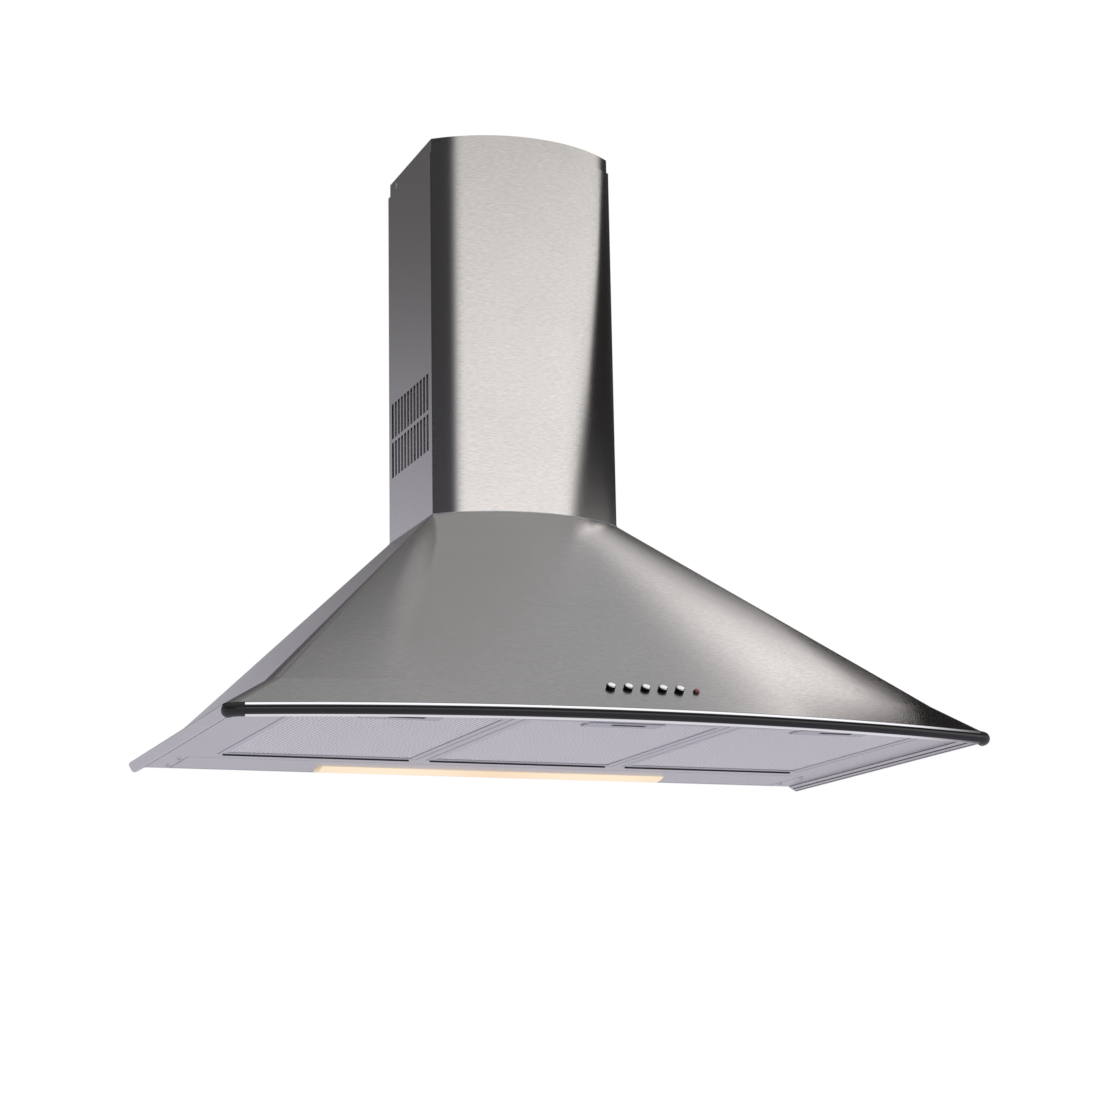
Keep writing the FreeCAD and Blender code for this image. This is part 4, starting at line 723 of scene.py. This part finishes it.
# %% A tool for ribbons
def ribbon(name, line, rise, across, finish, body):
    """A closed strip along a line of points, as high as one vector and as thick as another."""
    corners = []
    for point in line:
        base = Vector(point)
        corners += [base, base + Vector(rise), base + Vector(rise) + Vector(across), base + Vector(across)]
    last = len(corners) - 1
    faces = [(0, 1, 2, 3), (last, last - 1, last - 2, last - 3)]
    for first in range(0, len(corners) - 4, 4):
        for side in range(4):
            following = (side + 1) % 4
            faces.append((first + following, first + side, first + side + 4, first + following + 4))
    mesh = bpy.data.meshes.new(name)
    mesh.from_pydata(corners, [], faces)
    mesh.materials.append(finish)
    piece = bpy.data.objects.new(name, mesh)
    bpy.context.scene.collection.objects.link(piece)
    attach(piece, body)
    print(name, len(faces), "faces")


print("a tool for ribbons ready")

# %% [markdown]
# ## Painted shade behind the vent slots
# A folded black sheet stands behind the vent slots on each side, inside both covers. It is painted shade:
# a dark sheet put where only shade falls, so the slots show dark.

# %% Fold the dark sheet of painted shade
painted_slot_shade_folds = 26
painted_slot_shade_pitch = 0.0064
painted_slot_shade_depth = 0.0022
painted_slot_shade_sheet = 0.0006
painted_slot_shade_front = -0.006
painted_slot_shade_low = 0.372
painted_slot_shade_height = 0.106
painted_slot_shade_gap = 0.0018
cover_low, cover_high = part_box("upper_chimney_cover")
# painted shade: a folded black sheet inside each row of vent slots
for side, edge in ((-1, cover_low.x), (1, cover_high.x)):
    inner = edge - side * painted_slot_shade_gap
    folds = [(inner - side * painted_slot_shade_depth * (fold % 2), painted_slot_shade_front - fold * painted_slot_shade_pitch, painted_slot_shade_low)
             for fold in range(painted_slot_shade_folds)]
    ribbon("painted_slot_shade_" + ("left" if side < 0 else "right"), folds, (0, 0, painted_slot_shade_height),
           (-side * painted_slot_shade_sheet, 0, 0), finishes["black_moulding"], "hood")

# %% [markdown]
# ## Painted shade in the folds of the hem
# The canopy's side sheet is folded on itself along its lower edge, and each fold leaves a thin gap where
# shade falls. The shade is painted as flat dark ribbons on the hem's sloping inner face.

# %% Paint the shade in the folds
# Each painted fold shadow: how far out it starts on the sloping face, and how wide it is.
fold_shadows = ((0.0003, 0.0009), (0.0058, 0.0016), (0.0108, 0.0008))
hem_slope = math.radians(31)
fold_margin = 0.004
line_thickness = 0.00015
frame_low, frame_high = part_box("underside_frame")
hem_low, hem_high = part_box("canopy_right_panel")
# painted shade: a dark ribbon in each fold of the hem
for side, name, edge in ((-1, "left", frame_low.x), (1, "right", frame_high.x)):
    outwards = Vector((side * math.cos(hem_slope), 0, -math.sin(hem_slope)))
    below = Vector((-side * math.sin(hem_slope), 0, -math.cos(hem_slope)))
    for number, (start, width) in enumerate(fold_shadows):
        ends = (hem_low.y + fold_margin, hem_high.y - fold_margin)
        line = [Vector((edge, y, 0)) + outwards * start for y in ends]
        ribbon(f"hem_fold_shadow_{name}_{number}", line, outwards * width, below * line_thickness,
               finishes["black_cap"], "hood")

# %% [markdown]
# ## Painted shadow at the rear of the filters
# A thin black strip runs along the rear bar of each filter, where it rests on the frame, and moves with
# it. It is painted shadow, a dark strip put in the gap where shade falls.

# %% Lay the painted shadow strips
shadow_strip_height = 0.0014
shadow_strip_thickness = 0.0007
bar_inset = 0.0035
bar_margin = 0.006
# painted shadow: a black strip along each filter's rear bar
for side in ("left", "middle", "right"):
    low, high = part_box(f"filter_{side}_frame")
    line = [(low.x + bar_margin, high.y - bar_inset, 0), (high.x - bar_margin, high.y - bar_inset, 0)]
    ribbon(f"filter_{side}_shadow_strip", line, (0, 0, -shadow_strip_height), (0, shadow_strip_thickness, 0), finishes["black_cap"],
           f"filter_{side}")

# %% [markdown]
# ## Crossed screw heads
# Every screw has a crossed recess, and the shade in it is painted as a small dark cross laid on the head.
# One tree makes the cross and sets it out on a two by two pattern, and it is grown once for each group of
# screws.

# %% Set the painted recess shade on the screws
arm_share = 1.1
width_share = 0.32
cross_thickness = 0.0002
cross_sizes = (("Count", "Int"), ("Spread Across", "Float"), ("Spread Along", "Float"),
               ("Arm Length", "Float"), ("Arm Width", "Float"), ("Thickness", "Float"),
               ("Finish", "Material"))
# painted shade: a thin dark cross stands for the shade in each recess
crosses, given = geometry_tree("painted_recess_shade", cross_sizes)
index = add(crosses, "GeometryNodeInputIndex").outputs[0]
row = math_node(crosses, "FLOOR", math_node(crosses, "DIVIDE", index, 2.0))
column_place = math_node(crosses, "MULTIPLY", given["Spread Across"],
                         math_node(crosses, "SUBTRACT", math_node(crosses, "MODULO", index, 2.0), 0.5))
row_place = math_node(crosses, "MULTIPLY", given["Spread Along"], math_node(crosses, "SUBTRACT", row, 0.5))
spots = add(crosses, "GeometryNodePoints", {"Count": given["Count"],
                                            "Position": combine(crosses, column_place, row_place)})
arm = add(crosses, "GeometryNodeMeshCube", {"Size": combine(crosses, given["Arm Length"], given["Arm Width"],
                                                            given["Thickness"])})
other_arm = add(crosses, "GeometryNodeMeshCube", {"Size": combine(crosses, given["Arm Width"],
                                                                  given["Arm Length"], given["Thickness"])})
cross = add(crosses, "GeometryNodeJoinGeometry")
crosses.links.new(arm.outputs[0], cross.inputs[0])
crosses.links.new(other_arm.outputs[0], cross.inputs[0])
placed = add(crosses, "GeometryNodeInstanceOnPoints", {"Points": spots.outputs[0],
                                                       "Instance": cross.outputs[0]})
whole = add(crosses, "GeometryNodeRealizeInstances", {"Geometry": placed.outputs[0]})
finished = add(crosses, "GeometryNodeSetMaterial", {"Geometry": whole.outputs[0],
                                                    "Material": given["Finish"]})
add(crosses, "NodeGroupOutput", {"Geometry": finished.outputs[0]})

down = Matrix.Rotation(math.pi, 4, "X")
forwards = Matrix.Rotation(math.pi / 2, 4, "X")
left_turn = Matrix.Rotation(-math.pi / 2, 4, "Y")
right_turn = Matrix.Rotation(math.pi / 2, 4, "Y")
# Each group: name, body, count, spreads, place of its middle on the heads, turn, and radius of the heads.
groups = (
    ("lamp_panel_screw_crosses", "hood", 4, 0.810, 0.060, (0, -0.0555, -0.0012), down, 0.0030),
    ("outlet_screw_crosses", "hood", 4, 0.116, 0.116, (0, -0.105, 0.2982), Matrix(), 0.0035),
    ("motor_screw_crosses", "hood", 4, 0.0792, 0.0792, (-0.069, -0.055, 0.158), forwards, 0.0035),
    ("bracket_screw_cross_left", "chimney_upper", 1, 0, 0, (-0.1188, -0.025, 0.765), left_turn, 0.0035),
    ("bracket_screw_cross_right", "chimney_upper", 1, 0, 0, (0.1188, -0.025, 0.765), right_turn, 0.0035),
)
for name, body, count, spread_across, spread_along, middle, turn, radius in groups:
    piece = grow(name, crosses, {"Count": count, "Spread Across": spread_across, "Spread Along": spread_along,
                                 "Arm Length": radius * arm_share, "Arm Width": radius * width_share,
                                 "Thickness": cross_thickness, "Finish": finishes["black_cap"]})
    piece.data.transform(Matrix.Translation(middle) @ turn)
    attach(piece, body)
    print(name, len(piece.data.polygons), "faces")
